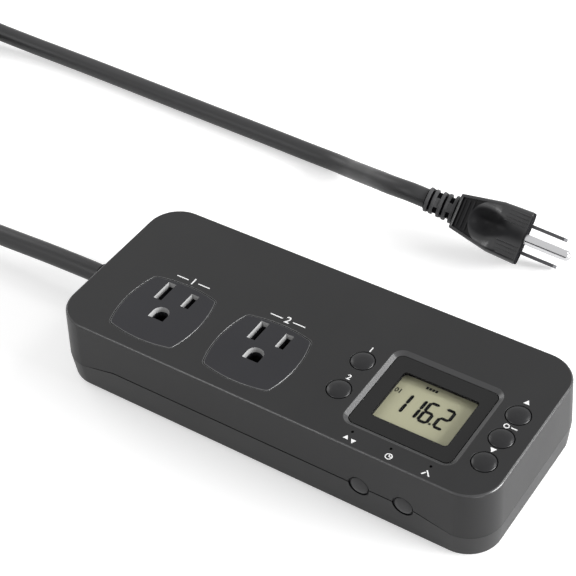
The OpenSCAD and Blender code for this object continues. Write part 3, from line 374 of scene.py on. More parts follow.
def recess_tool():
    x, y = DISPLAY
    half_x, half_y = RECESS_HALF
    plate = rounded_block("recess", (x - half_x, y - half_y, TOP + 0.2), (x + half_x, y + half_y, TOP + 1),
                          5.3, 8)
    return sunk_tool(plate, 2.22, 1.4, 4)


def make_lower_shell():
    half_l, half_w = LENGTH / 2, WIDTH / 2
    shell = rounded_block("lower_shell", (-half_l, -half_w, FOOT), (half_l, half_w, PARTING), CORNER, 16)
    narrower = ((LENGTH - DRAFT_LOW) / LENGTH, (WIDTH - DRAFT_LOW) / WIDTH, 1)
    grow_faces(shell, lambda c, n: n.z < -0.9, narrower)
    round_edges(shell, 0.8, 4, lambda a, b: a.z < FOOT + 0.1 and b.z < FOOT + 0.1)
    pick(shell, "faces", lambda c, n: n.z > 0.9)
    bpy.ops.mesh.delete(type="FACE")
    done()
    raise_parting(shell, PARTING, ARCH, 0)
    apply(shell, "SOLIDIFY", thickness=WALL / 1000, offset=-1, use_even_offset=True,
          use_quality_normals=True)
    lip = rounded_block("lip", (-half_l + LIP_IN, -half_w + LIP_IN, PARTING - 2),
                        (half_l - LIP_IN, half_w - LIP_IN, PARTING + LIP_HIGH), CORNER - LIP_IN, 16)
    pick(lip, "faces", lambda c, n: abs(n.z) > 0.9)
    bpy.ops.mesh.delete(type="FACE")
    done()
    raise_parting(lip, PARTING + LIP_HIGH, ARCH, 0)
    apply(lip, "SOLIDIFY", thickness=0.0011, offset=-1, use_even_offset=True)
    carve(shell, lip, "UNION")
    for x in RESETS:
        carve(shell, rod("hole", (x, -half_w - 2, RESET_HEIGHT), 8, RESET_HOLE, "Y", 64))
    carve(shell, rod("hole", (-half_l - 2, *CORD_ENTRY), 8, CORD_HOLE, "X", 64))
    for sx in (-1, 1):
        for sy in (-1, 1):
            well = rod("well", (sx * SCREWS_AT[0], sy * SCREWS_AT[1], -1), 8, SCREW_WELL, sides=48)
            carve(shell, well)
            seat = rod("seat", (sx * FEET_AT[0], sy * FEET_AT[1], -1), 3.6, FOOT_SEAT, sides=64)
            carve(shell, seat)
    tidy_mesh(shell, 0.01)
    smooth(shell, 30)
    return shell


upper_shell = make_upper_shell()
lower_shell = make_lower_shell()


# Outlet faces
def blade_slot(x, y, length):
    """The tool for one slot: a tapered mouth above a straight throat."""
    plate = block("slot", (x - 1.96, y - length / 2 - 0.06, TOP + 0.2),
                  (x + 1.96, y + length / 2 + 0.06, TOP + 1))
    return sunk_tool(plate, 0.66, 2.2, 6)


def ground_slot(x, y):
    """Half round behind and straight in front, with the same taper."""
    plate = block("slot", (x - 3.76, y - 3.56, TOP + 0.2), (x + 3.76, y + 3.76, TOP + 1))
    round_edges(plate, 3.6, 10, lambda a, b: upright(a, b) and a.y > y)
    return sunk_tool(plate, 0.66, 2.2, 6)


def make_outlet_face(number):
    x = OUTLETS[number - 1]
    cx, cy = x + FACE_SHIFT[0], BLADE_LINE + FACE_SHIFT[1]
    face = barrel("outlet_plate_%d" % number, (cx, cy), 0, 32.6, TOP)
    round_edges(face, 0.36, 3, lambda a, b: a.z > TOP - 0.02 and b.z > TOP - 0.02)
    carve(face, barrel("flange", (cx, cy), 1.5, 31.8, 33.55), "UNION")
    skirt = block("skirt", (cx - 16, cy - 13, 15), (cx + 16, cy + 16.8, 32.5))
    carve(skirt, block("room", (cx - 14.5, cy - 11.5, 14), (cx + 14.5, cy + 15.3, 33)))
    notches = (((cx - 17, -23.9, 14), (cx + 17, -20.5, 16)),
               ((x + BLADE_HALF_GAP, -9, 14), (cx + 17, -3.8, 16)),
               ((x - 8.95, -6.4, 14), (x - 3.75, 10.4, 16)))
    for low, high in notches:
        carve(skirt, block("notch", low, high))
    shafts = (((x - 10.35, -13.1, 17.2), (x - 2.35, 0.3, 32.4)),
              ((x + 2.35, -12.3, 17.25), (x + 10.35, -0.5, 32.35)),
              ((x - 5.4, -23.7, 17.3), (x + 5.4, -12.9, 32.3)))
    for low, high in shafts:
        carve(skirt, block("shaft", low, high), "UNION")
    for post in ((12.3, -9.6), (-12.7, -9.6), (-0.2, 13)):
        carve(skirt, rod("post", (cx + post[0], cy + post[1], 15.05), 17.1, 2.7), "UNION")
        carve(skirt, rod("screw_hole", (cx + post[0], cy + post[1], 14), 10, 1.15, sides=32))
    rooms = (((x - 9.15, -11.9, 14), (x - 3.55, -0.9, 33)),
             ((x + 3.55, -11.1, 14), (x + 9.15, -1.7, 33)),
             ((x - 4.2, -22.5, 14), (x + 4.2, -14.1, 33)))
    for low, high in rooms:
        carve(skirt, block("shaft_room", low, high))
    carve(face, skirt, "UNION")
    for tool in (blade_slot(x - BLADE_HALF_GAP, BLADE_LINE, NEUTRAL_SLOT),
                 blade_slot(x + BLADE_HALF_GAP, BLADE_LINE, LINE_SLOT),
                 ground_slot(x, BLADE_LINE - GROUND_DROP)):
        carve(face, tool)
    tidy_mesh(face, 0.005)
    smooth(face, 30)
    return face


outlet_plates = [make_outlet_face(k) for k in (1, 2)]


# Push buttons and reset caps
def dome(piece, rise, rings, up):
    """Rounds the picked end face up into a shallow dome by repeated extruding and narrowing."""
    before = 0.0
    scale_before = 1.0
    for i in range(1, rings + 1):
        angle = math.radians(90 * i / (rings + 1))
        height, scale = rise * math.sin(angle), math.cos(angle)
        step = Vector(up) * (height - before) / 1000
        bpy.ops.mesh.extrude_region_move(TRANSFORM_OT_translate={"value": step})
        form = bmesh.from_edit_mesh(piece.data)
        points = [v.co for v in form.verts if v.select]
        middle = sum(points, Vector()) / len(points)
        factor = scale / scale_before
        bpy.ops.transform.resize(value=(factor, factor, factor), center_override=middle)
        before, scale_before = height, scale


def make_button(name):
    x, y = BUTTONS[name]
    cap = rod("cap_" + name, (x, y, 32.7), 0.8, 5.85, sides=72)
    pick(cap, "faces", lambda c, n: n.z > 0.9)
    bpy.ops.mesh.inset(thickness=0.00095)
    bpy.ops.mesh.extrude_region_move(TRANSFORM_OT_translate={"value": (0, 0, 0.0022)})
    dome(cap, 1.15, 7, (0, 0, 1))
    done()
    pick(cap, "faces", lambda c, n: n.z < -0.9)
    bpy.ops.mesh.inset(thickness=0.0036)
    bpy.ops.mesh.extrude_region_move(TRANSFORM_OT_translate={"value": (0, 0, -0.0004)})
    done()
    smooth(cap, 40)
    return cap


def make_reset_cap(number):
    x = RESETS[number - 1]
    cap = rod("reset_knob_%d" % number, (x, -41.2, RESET_HEIGHT), 9.9, 4, "Y", 64)
    pick(cap, "faces", lambda c, n: n.y < -0.9)
    dome(cap, 0.7, 7, (0, -1, 0))
    done()
    smooth(cap, 40)
    return cap


button_caps = {name: make_button(name) for name in BUTTONS}
reset_knobs = [make_reset_cap(k) for k in (1, 2)]


# Display
def make_window():
    x, y = DISPLAY
    half_x, half_y = WINDOW_HALF
    glass = rounded_block("window_glass", (x - half_x, y - half_y, WINDOW_LOW),
                          (x + half_x, y + half_y, WINDOW_TOP), 3.1, 8)
    round_edges(glass, 0.15, 2, lambda a, b: a.z > 34.79 and b.z > 34.79)
    smooth(glass, 30)
    return glass


def make_mask():
    """The black border printed on the window, with its rounded view opening."""
    x, y = DISPLAY
    half_x, half_y = MASK_HALF
    mask = rounded_block("window_mask", (x - half_x, y - half_y, 34.805),
                         (x + half_x, y + half_y, 34.84), 3, 8)
    tool = rounded_block("opening", (x - 15.8, y - 13.5, 34), (x + 17.4, y + 13.1, 36), 1.5, 6)
    carve(mask, tool)
    tidy_mesh(mask, 0.005)
    smooth(mask, 30)
    return mask


def segment(name, length, width, upright_one):
    """One bar of a digit, pointed at both ends."""
    bar = block(name, (-length / 2, -width / 2, 0), (length / 2, width / 2, 0.05))
    pick(bar, "edges", upright)
    bpy.ops.mesh.bevel(offset=width * 0.0004, offset_type="OFFSET", segments=1, affect="EDGES")
    done()
    if upright_one:
        bar.data.transform(Matrix.Rotation(math.pi / 2, 4, "Z"))
    return bar


def numeral(text, x, y, height, z=TOP, thick=0.04):
    """A sign made from text; the font's capitals are 0.7 of its size."""
    let_go()
    bpy.ops.object.text_add(location=(0, 0, 0))
    sign = bpy.context.object
    sign.data.body = text
    sign.data.align_x = "CENTER"
    sign.data.align_y = "CENTER"
    sign.data.size = height / 700
    sign.data.extrude = thick / 2000
    sign.data.offset = 0.00006
    bpy.ops.object.convert(target="MESH")
    sign.location = (x / 1000, y / 1000, (z + 0.01) / 1000)
    settle(sign)
    return sign


BARS = {"a": (0, 1, False), "b": (0.5, 0.5, True), "c": (0.5, -0.5, True), "d": (0, -1, False),
        "e": (-0.5, -0.5, True), "f": (-0.5, 0.5, True), "g": (0, 0, False)}
DIGITS = {"1": "bc", "6": "acdefg", "2": "abdeg"}


def make_digits():
    """The reading, bar by bar, with its point and a small row of level bars above it."""
    half_h, half_w = 5.2, 1.85
    pieces = []
    for digit, x in (("1", -10.0), ("1", -3.95), ("6", 1.65), ("2", 8.45)):
        for key in DIGITS[digit]:
            dx, dy, tall = BARS[key]
            one = segment("bar", (half_h if tall else 2 * half_w) - 0.15, 1.35, tall)
            one.data.transform(Matrix.Translation(Vector((x + 2 * dx * half_w, dy * half_h, 0)) / 1000))
            pieces.append(one)
    pieces.append(block("point", (4.45, -half_h - 0.1, 0), (5.35, -half_h + 0.8, 0.05)))
    for k in range(4):
        pieces.append(block("level", (-6.2 + 1.35 * k, 10.6, 0), (-5.2 + 1.35 * k, 11.9, 0.05)))
    pieces.append(numeral("01", -14.6, 4.5, 2.2, 0.0, 0.05))
    digits = join(*pieces)
    digits.name = "lcd_digits"
    lean = Matrix(((1, 0.04, 0, 0), (0, 1, 0, 0), (0, 0, 1, 0), (0, 0, 0, 1)))
    digits.data.transform(lean)
    digits.data.transform(Matrix.Translation(Vector((DISPLAY[0], DISPLAY[1] + 0.85, LCD_TOP)) / 1000))
    return digits


window_glass = make_window()
window_mask = make_mask()
lcd_digits = make_digits()


# Plug, modelled along +X with the cord's axis on the X axis, then put in its place
SHOULDER = -13.6
REAR_CROWN = 8.24
RINGS = ((1.4, 6.5), (4.7, 6.2), (7.4, 6.0), (10.9, 5.8), (13.6, 5.7))
# Thumb hollow, press by press: place along the plug, depth, and reach of the falloff
HOLLOW = ((-22, 1.3, 6.5), (-19.5, 1.6, 7.8), (-17, 1.4, 7.8), (-14.5, 0.9, 6.6), (-12, 0.6, 5.6),
          (-9, 0.5, 5), (-6, 0.45, 4.6), (-3, 0.4, 4.4), (-0.5, 0.3, 4.2))
# Rise of the four grip ridges of each lobe, from the hollow outwards
RIDGES = (0.25, 0.35, 0.3, 0.05)


def lengthwise(a, b):
    return abs(a.y - b.y) < 0.1 and abs(a.z - b.z) < 0.1


def taper(piece, x, width, height, middle):
    """Narrows the points of one section about the middle height."""
    pick(piece, "points", lambda p: abs(p.x - x) < 0.1)
    bpy.ops.transform.resize(value=(1, width, height), center_override=(x / 1000, 0, middle / 1000))
    done()


def push(piece, wanted, depth, reach):
    """Presses the picked points down, and the points round them with a smooth falloff."""
    pick(piece, "points", wanted)
    bpy.ops.transform.translate(value=(0, 0, -depth / 1000), use_proportional_edit=True,
                                proportional_edit_falloff="SMOOTH", proportional_size=reach / 1000)
    done()


def plug_pocket():
    """The tool for the sunk area behind the lobes: a tapered plate with a sloping floor and a round front."""
    tool = block("pocket", (1.2 - PLUG_LENGTH, -10.2, 11.6), (SHOULDER - 0.4, 10.2, 16))
    taper(tool, 1.2 - PLUG_LENGTH, 6.9 / 10.2, 1, 11.6)
    pick(tool, "points", lambda p: p.x < -30 and p.z < 12)
    bpy.ops.transform.translate(value=(0, 0, -0.00436))
    done()
    pick(tool, "points", lambda p: p.x > -20 and p.z < 12)
    bpy.ops.transform.translate(value=(0, 0, -0.0001))
    done()
    front = rod("front", (SHOULDER, 0, 0), 20, 12.6, sides=96)
    pick(front, "points", lambda p: True)
    bpy.ops.transform.resize(value=(1, 0.86, 1), center_override=(SHOULDER / 1000, 0, 0))
    done()
    carve(tool, front)
    return tool


def make_plug():
    body = block("plug_shell", (-PLUG_LENGTH, -PLUG_HALF, -PLUG_LOW), (0, PLUG_HALF, PLUG_HIGH))
    cut_across(body, (SHOULDER, 0, 0), (1, 0, 0))
    round_edges(body, 2.0, 4, lambda a, b: lengthwise(a, b) and a.z > 0 and abs(a.y) > 12)
    round_edges(body, 6.2, 7, lambda a, b: lengthwise(a, b) and a.z < -5 and abs(a.y) > 12)
    taper(body, SHOULDER, 11.7 / PLUG_HALF, 1, 0)
    taper(body, -PLUG_LENGTH, PLUG_REAR / PLUG_HALF, 0.68, -0.6)
    round_edges(body, 0.45, 3, lambda a, b: (a.x > -0.1 and b.x > -0.1) or max(a.x, b.x) < 0.1 - PLUG_LENGTH)
    pick(body, "faces", lambda c, n: n.z > 0.95 and c.z > 8)
    bpy.ops.mesh.subdivide(number_cuts=26)
    done()
    for x, depth, reach in HOLLOW:
        push(body, lambda p: p.z > 7 and abs(p.y) < 0.6 and abs(p.x - x) < 0.7, depth, reach)
    for side in (-1, 1):
        for x in (-12, -9, -6):
            push(body, lambda p: p.z > 11 and abs(p.y - side * 7.2) < 0.7 and abs(p.x - x) < 0.7, -0.3, 4.2)
    carve(body, plug_pocket())
    for k in range(3):
        x = -30.4 + 2.1 * k
        half = 6.1 + 0.35 * k
        carve(body, block("rib", (x - 0.35, -half, 2), (x + 0.35, half, 8.1 + 0.5 * k)), "UNION")
    for side in (-1, 1):
        for k, rise in enumerate(RIDGES):
            start = (-11.2 + 0.5 * k, side * (4.6 + 1.7 * k), 12.42 + rise)
            carve(body, rod("ridge", start, 10.4 - 0.5 * k, 0.32, "X", 16), "UNION")
    core = rod("core", (-PLUG_LENGTH - RELIEF_LENGTH, 0, 0), RELIEF_LENGTH + 1, 4.75, "X", 48, 5.0)
    carve(body, core, "UNION")
    tidy_mesh(body, 0.005)
    smooth(body, 35)
    rubbed_places(body)
    return body


def rubbed_places(body):
    """Marks how glossy each point of the plug is: sunk places on its upper side stay matt."""
    values = []
    for point in body.data.vertices:
        x, y, z = point.co * 1000
        along_rear = (x + PLUG_LENGTH) / (PLUG_LENGTH + SHOULDER)
        crown = PLUG_HIGH if x > SHOULDER else REAR_CROWN + (PLUG_HIGH - REAR_CROWN) * along_rear
        on_upper_side = z > 0 and abs(y) < 9.6 and x > -PLUG_LENGTH
        sunk = min(max((crown - z) / 0.8, 0), 1) if on_upper_side else 0
        values.append(1 - 0.98 * sunk)
    place = body.data.attributes.new("rubbed", "FLOAT", "POINT")
    place.data.foreach_set("value", values)


def make_relief():
    """Thin rings round the cord with webs between them, staggered from gap to gap."""
    pieces = []
    for back, radius in RINGS:
        collar = rod("collar", (-PLUG_LENGTH - back - 0.8, 0, 0), 1.6, radius, "X", 64)
        round_edges(collar, 0.3, 2, lambda a, b: abs(a.x - b.x) < 0.01)
        carve(collar, rod("bore", (-PLUG_LENGTH - back - 2, 0, 0), 4, 4.6, "X", 48))
        pieces.append(collar)
    for k in range(4):
        (first, radius), (second, end_radius) = RINGS[k], RINGS[k + 1]
        low = min(radius, end_radius) - 0.35
        for side in (-1, 1):
            middle = side * (4.4 + low) / 2
            half = (low - 4.4) / 2
            thick = (middle - half, middle + half)
            across = (-2.2, 2.2)
            y, z = (across, thick) if k % 2 == 0 else (thick, across)
            pieces.append(block("web", (-PLUG_LENGTH - second, y[0], z[0]),
                                (-PLUG_LENGTH - first, y[1], z[1])))
    relief = join(*pieces)
    relief.name = "plug_relief"
    smooth(relief, 35)
    return relief


plug_place = (Matrix.Translation(PLUG_AT / 1000) @ Matrix.Rotation(PLUG_TURN, 4, "Z")
              @ Matrix.Rotation(PLUG_TILT, 4, "Y") @ Matrix.Rotation(PLUG_ROLL, 4, "X"))
plug_shell = make_plug()
plug_relief = make_relief()
for piece in (plug_shell, plug_relief):
    piece.data.transform(plug_place)


# Printed marks: plain signs just above the top face
def turn_sign(sign, x, y, degrees):
    pick(sign, "points", lambda p: True)
    bpy.ops.transform.rotate(value=math.radians(degrees), orient_axis="Z",
                             center_override=(x / 1000, y / 1000, TOP / 1000))
    done()


def arrow(x, y, size, turn):
    """A flat triangle, pointing up or down."""
    sign = rod("sign", (x, y, TOP - 0.01), 0.04, size, sides=3)
    turn_sign(sign, x, y, turn)
    return sign


def loop(x, y, radius, width):
    """A flat ring."""
    sign = rod("sign", (x, y, TOP - 0.01), 0.04, radius, sides=40)
    carve(sign, rod("middle", (x, y, TOP - 1), 2, radius - width, sides=40))
    return sign


def bar(x, y, half_x, half_y, slant=0.0):
    sign = block("sign", (x - half_x, y - half_y, TOP - 0.01), (x + half_x, y + half_y, TOP + 0.03))
    if slant:
        turn_sign(sign, x, y, slant)
    return sign


def make_marks():
    marks = [numeral("1", -60.8, 4.1, 3.6), numeral("2", -14.0, 4.5, 3.6), numeral("1", 23.8, 7.0, 2.6),
             numeral("2", 24.1, -10.3, 2.6)]
    marks += [bar(x + side * 5.4, y, 2.9, 0.26) for x, y in ((-60.8, 4.1), (-14.0, 4.5)) for side in (-1, 1)]
    marks += [arrow(89.6, 12.4, 1.5, 0), arrow(89.6, -15.1, 1.5, 180), loop(88.4, -2.0, 1.2, 0.42),
              bar(91.6, -2.0, 1.3, 0.26)]
    marks += [arrow(39.6, -37.5, 1.3, 0), arrow(42.8, -37.8, 1.3, 180), loop(58.2, -37.6, 1.5, 0.4),
              bar(58.2, -37.05, 0.2, 0.65), bar(58.65, -37.6, 0.55, 0.2), bar(73.2, -38.0, 0.26, 0.95, 40),
              bar(74.75, -37.45, 0.26, 1.6, -40)]
    marks = join(*marks)
    marks.name = "printed_marks"
    return marks


printed_marks = make_marks()


# Materials
def new_material(name, colour, roughness, metallic=0.0):
    material = bpy.data.materials.new(name)
    material.use_nodes = True
    shader = material.node_tree.nodes["Principled BSDF"]
    shader.inputs["Base Color"].default_value = (*colour, 1)
    shader.inputs["Roughness"].default_value = roughness
    shader.inputs["Metallic"].default_value = metallic
    return material, shader


def grain_group():
    """Fine grain with slow patches: a height for the bump, and a value that shifts colour and gloss."""
    group = bpy.data.node_groups.new("moulded_grain", "ShaderNodeTree")
    for name, value in (("Grain size", 3000), ("Patch size", 40)):
        socket = group.interface.new_socket(name=name, in_out="INPUT", socket_type="NodeSocketFloat")
        socket.default_value = value
    for name in ("Height", "Patches"):
        group.interface.new_socket(name=name, in_out="OUTPUT", socket_type="NodeSocketFloat")
    nodes, links = group.nodes, group.links
    entry, leave = nodes.new("NodeGroupInput"), nodes.new("NodeGroupOutput")
    place = nodes.new("ShaderNodeTexCoord")
    fine = nodes.new("ShaderNodeTexNoise")
    fine.inputs["Detail"].default_value = 3
    slow = nodes.new("ShaderNodeTexNoise")
    slow.inputs["Detail"].default_value = 2
    links.new(place.outputs["Object"], fine.inputs["Vector"])
    links.new(place.outputs["Object"], slow.inputs["Vector"])
    links.new(entry.outputs["Grain size"], fine.inputs["Scale"])
    links.new(entry.outputs["Patch size"], slow.inputs["Scale"])
    links.new(fine.outputs["Fac"], leave.inputs["Height"])
    links.new(slow.outputs["Fac"], leave.inputs["Patches"])
    return group


GRAIN = grain_group()


def moulded(name, colour, roughness, grain=3000, bump=0.05, spread=0.12, shift=0.06, patches=40,
            gloss_level=0.25):
    """Moulded plastic or rubber: grain in its bump, slow patches in its colour and gloss."""
    material, shader = new_material(name, colour, roughness)
    shader.inputs["Specular IOR Level"].default_value = gloss_level
    nodes, links = material.node_tree.nodes, material.node_tree.links
    group = nodes.new("ShaderNodeGroup")
    group.node_tree = GRAIN
    group.inputs["Grain size"].default_value = grain
    group.inputs["Patch size"].default_value = patches
    bumps = nodes.new("ShaderNodeBump")
    bumps.inputs["Strength"].default_value = bump
    bumps.inputs["Distance"].default_value = 0.0002
    links.new(group.outputs["Height"], bumps.inputs["Height"])
    links.new(bumps.outputs["Normal"], shader.inputs["Normal"])
    gloss = nodes.new("ShaderNodeMapRange")
    gloss.inputs["To Min"].default_value = roughness - shift
    gloss.inputs["To Max"].default_value = roughness + shift
    links.new(group.outputs["Patches"], gloss.inputs["Value"])
    links.new(gloss.outputs["Result"], shader.inputs["Roughness"])
    tint = nodes.new("ShaderNodeMix")
    tint.data_type = "RGBA"
    tint.inputs[6].default_value = (*[c * (1 - spread) for c in colour], 1)
    tint.inputs[7].default_value = (*[c * (1 + spread) for c in colour], 1)
    links.new(group.outputs["Patches"], tint.inputs[0])
    links.new(tint.outputs[2], shader.inputs["Base Color"])
    return material


def rubbed(name, colour, roughness):
    """Moulded plastic whose raised places are rubbed to a gloss; the piece's attribute says where."""
    material = moulded(name, colour, roughness, grain=1800, bump=0.06, gloss_level=0.1)
    tree = material.node_tree
    shader = tree.nodes["Principled BSDF"]
    place = tree.nodes.new("ShaderNodeAttribute")
    place.attribute_name = "rubbed"
    tree.links.new(place.outputs["Fac"], shader.inputs["Coat Weight"])
    shader.inputs["Coat Roughness"].default_value = 0.3
    return material


def polished(name, colour, roughness):
    """Plated metal with faint drawn lines along X."""
    material, shader = new_material(name, colour, roughness, 1.0)
    nodes, links = material.node_tree.nodes, material.node_tree.links
    place = nodes.new("ShaderNodeTexCoord")
    stretch = nodes.new("ShaderNodeMapping")
    stretch.inputs["Scale"].default_value = (20, 900, 900)
    lines = nodes.new("ShaderNodeTexNoise")
    lines.inputs["Scale"].default_value = 2
    gloss = nodes.new("ShaderNodeMapRange")
    gloss.inputs["To Min"].default_value = roughness * 0.7
    gloss.inputs["To Max"].default_value = roughness * 1.4
    links.new(place.outputs["Object"], stretch.inputs["Vector"])
    links.new(stretch.outputs["Vector"], lines.inputs["Vector"])
    links.new(lines.outputs["Fac"], gloss.inputs["Value"])
    links.new(gloss.outputs["Result"], shader.inputs["Roughness"])
    return material


HOUSING = moulded("housing_plastic", (0.018, 0.018, 0.0185), 0.42, grain=2600, bump=0.06)
# The top's outer edge bevel: glossier plastic whose lighter colour is a painted highlight.
HOUSING_EDGE_HIGHLIGHT = moulded("housing_edge_painted_highlight", (0.03, 0.03, 0.031), 0.26, grain=2600, bump=0.02, gloss_level=0.6)
# The display recess's sloped border: glossier plastic whose lighter colour is a painted highlight.
BEZEL_HIGHLIGHT = moulded("bezel_painted_highlight", (0.032, 0.032, 0.033), 0.27, bump=0.0, gloss_level=0.6)
# The rounded rims of the outlet holes and outlet faces: a lighter colour that is a painted highlight.
RIM_HIGHLIGHT = moulded("rim_painted_highlight", (0.07, 0.07, 0.072), 0.27, bump=0.0, gloss_level=0.8)
INSERT = moulded("insert_plastic", (0.018, 0.018, 0.021), 0.38, grain=4000, bump=0.02)
# The slots' tapered mouths: pale grey, a painted highlight on their walls.
SLOT_LIP_HIGHLIGHT = moulded("slot_lip_painted_highlight", (0.36, 0.36, 0.36), 0.3, bump=0.0)
CAP = moulded("cap_plastic", (0.008, 0.008, 0.009), 0.3, grain=4000, bump=0.02, gloss_level=0.35)
MASK = moulded("mask_ink", (0.008, 0.008, 0.008), 0.22, bump=0.0, patches=12)
CORD_SKIN = moulded("cord_jacket", (0.02, 0.02, 0.021), 0.42, grain=1800, bump=0.06, gloss_level=0.4)
PLUG_SKIN = moulded("plug_plastic", (0.006, 0.006, 0.007), 0.4, grain=1800, bump=0.06, gloss_level=0.1)
PLUG_GRIP = rubbed("plug_grip", (0.011, 0.011, 0.012), 0.4)
RELIEF_SKIN = moulded("relief_plastic", (0.065, 0.065, 0.067), 0.45, grain=1800, bump=0.1)
FOOT_RUBBER = moulded("foot_rubber", (0.012, 0.012, 0.012), 0.7, grain=1500, bump=0.2)
BLACK = moulded("black_moulding", (0.006, 0.006, 0.007), 0.5)
# Matt black for the plug's front face, and for the core between the relief's rings, where it is painted
# shade.
MATT_BLACK_GAP_SHADE = moulded("matt_black_gap_shade", (0.006, 0.006, 0.007), 0.85, gloss_level=0.02)
BOARD = moulded("board_green", (0.02, 0.11, 0.045), 0.35, patches=120)
NYLON = moulded("nylon", (0.55, 0.52, 0.43), 0.45)
BLUE = moulded("relay_blue", (0.02, 0.07, 0.28), 0.35)
DISC_BLUE = moulded("varistor_blue", (0.02, 0.1, 0.42), 0.5)
YELLOW = moulded("capacitor_yellow", (0.62, 0.4, 0.03), 0.4)
SLEEVE = moulded("sleeve_blue", (0.015, 0.02, 0.09), 0.25)
CORE = moulded("transformer_tape", (0.3, 0.22, 0.05), 0.45)
STRIP = moulded("pink_rubber", (0.6, 0.3, 0.33), 0.6)
LAMP = moulded("lamp_epoxy", (0.4, 0.6, 0.45), 0.15)
PLUNGER = moulded("plunger_brown", (0.2, 0.04, 0.025), 0.4)
WIRE_BLACK = moulded("wire_black", (0.012, 0.012, 0.012), 0.35)
WIRE_WHITE = moulded("wire_white", (0.75, 0.75, 0.72), 0.35)
WIRE_GREEN = moulded("wire_green", (0.03, 0.25, 0.07), 0.35)
GLASS_TUBE = moulded("fuse_glass", (0.6, 0.6, 0.6), 0.1)
PRINT = moulded("white_print", (0.86, 0.86, 0.86), 0.5, spread=0.03)
SEGMENTS = moulded("segment_black", (0.003, 0.003, 0.003), 0.6, gloss_level=0.05)
LCD = moulded("lcd_green", (0.53, 0.52, 0.356), 0.25, grain=6000, bump=0.01, spread=0.04)
BRASS = polished("brass", (0.68, 0.47, 0.17), 0.3)
STEEL = polished("zinc_steel", (0.6, 0.61, 0.63), 0.35)
NICKEL = polished("nickel_plate", (0.56, 0.56, 0.57), 0.18)
# The plug's blades: metal darkened to near black, a painted dark reflection.
BLADE_DARK_REFLECTION = polished("blade_metal_painted_reflection", (0.09, 0.09, 0.095), 0.32)


def clear_sheet():
    """A thin clear sheet that light passes straight."""
    material, shader = new_material("clear_window", (0.02, 0.02, 0.02), 0.08)
    shader.inputs["Alpha"].default_value = 0.08
    return material


GLASS = clear_sheet()


def dress(piece, material):
    piece.data.materials.clear()
    piece.data.materials.append(material)


# Riding and what each piece stands for
def on_outer_edge(x, y):
    """True along the top's outline, its round corners included."""
    past_x, past_y = abs(x) - (LENGTH / 2 - CORNER), abs(y) - (WIDTH / 2 - CORNER)
    in_corner = past_x > 0 and past_y > 0 and math.hypot(past_x, past_y) > 11
    return abs(x) > LENGTH / 2 - 3 or abs(y) > WIDTH / 2 - 3 or in_corner


def fit(piece, material, slot, *nodes, body="housing"):
    if material:
        dress(piece, material)
    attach(piece, body)
    if nodes:
        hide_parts(*nodes)


fit(upper_shell, HOUSING, "housing", "top_cover")
upper_shell.data.materials.append(HOUSING_EDGE_HIGHLIGHT)
upper_shell.data.materials.append(BEZEL_HIGHLIGHT)
upper_shell.data.materials.append(RIM_HIGHLIGHT)
for face in upper_shell.data.polygons:
    x, y, z = (1000 * c for c in face.center)
    if z < TOP - 1.45 or not 0.2 < face.normal.z < 0.97:
        continue
    # The top's outer edge bevel: painted highlight.
    if on_outer_edge(x, y):
        face.material_index = 1
    # The display recess's border: painted highlight.
    elif abs(x - DISPLAY[0]) < 24.9 and abs(y - DISPLAY[1]) < 22.9:
        face.material_index = 2
    # The outlet holes' rims: painted highlight.
    elif x < 8 and abs(y - BLADE_LINE - FACE_SHIFT[1]) < 19 and z > TOP - 0.4:
        face.material_index = 3
fit(lower_shell, HOUSING, "housing", "bottom_cover")
lower_shell.data.materials.append(BLACK)
for face in lower_shell.data.polygons:
    x, y, z = (1000 * abs(c) for c in face.center)
    if z > PARTING - 3 and (x < LENGTH / 2 - 0.9 and y < WIDTH / 2 - 0.9) or z > PARTING + ARCH + 0.05:
        face.material_index = 1
for number, plate in enumerate(outlet_plates, 1):
    fit(plate, INSERT, "panel", "outlet_face_%d" % number)
    plate.data.materials.append(SLOT_LIP_HIGHLIGHT)
    plate.data.materials.append(RIM_HIGHLIGHT)
    for face in plate.data.polygons:
        # The slots' tapered walls: pale, a painted highlight.
        if abs(face.center.z - 0.035) < 0.0005 and 0.2 < face.normal.z < 0.6:
            face.material_index = 1
        # The outlet face's rounded rim: painted highlight.
        elif 0.1 < face.normal.z < 0.97 and face.center.z > (TOP - 0.4) / 1000:
            face.material_index = 2
for name, cap in button_caps.items():
    fit(cap, CAP, "panel", "button_" + name, body="push_" + name)
for number, knob in enumerate(reset_knobs, 1):
    fit(knob, CAP, "panel", "reset_cap_%d" % number, body="reset_%d" % number)
fit(window_glass, GLASS, "window", "display_window")
fit(window_mask, MASK, "panel")
fit(printed_marks, PRINT, "housing")
fit(lcd_digits, SEGMENTS, "lcd")
fit(plug_shell, PLUG_GRIP, "plug", "plug_body")
plug_shell.data.materials.append(MATT_BLACK_GAP_SHADE)
for face in plug_shell.data.polygons:
    # The core between the relief's rings gets matt black, painted shade in the gaps; the front face gets it
    # too.
    in_relief = (face.center * 1000 - PLUG_AT).dot(ALONG) < -PLUG_LENGTH - 0.1
    if in_relief or face.normal.dot(ALONG) > 0.7:
        face.material_index = 1
fit(plug_relief, RELIEF_SKIN, "plug", "plug_body")
fit(mains_cord, CORD_SKIN, "cord", "cord_near", "cord_coil", "cord_far")
nodes = frame["nodes"]

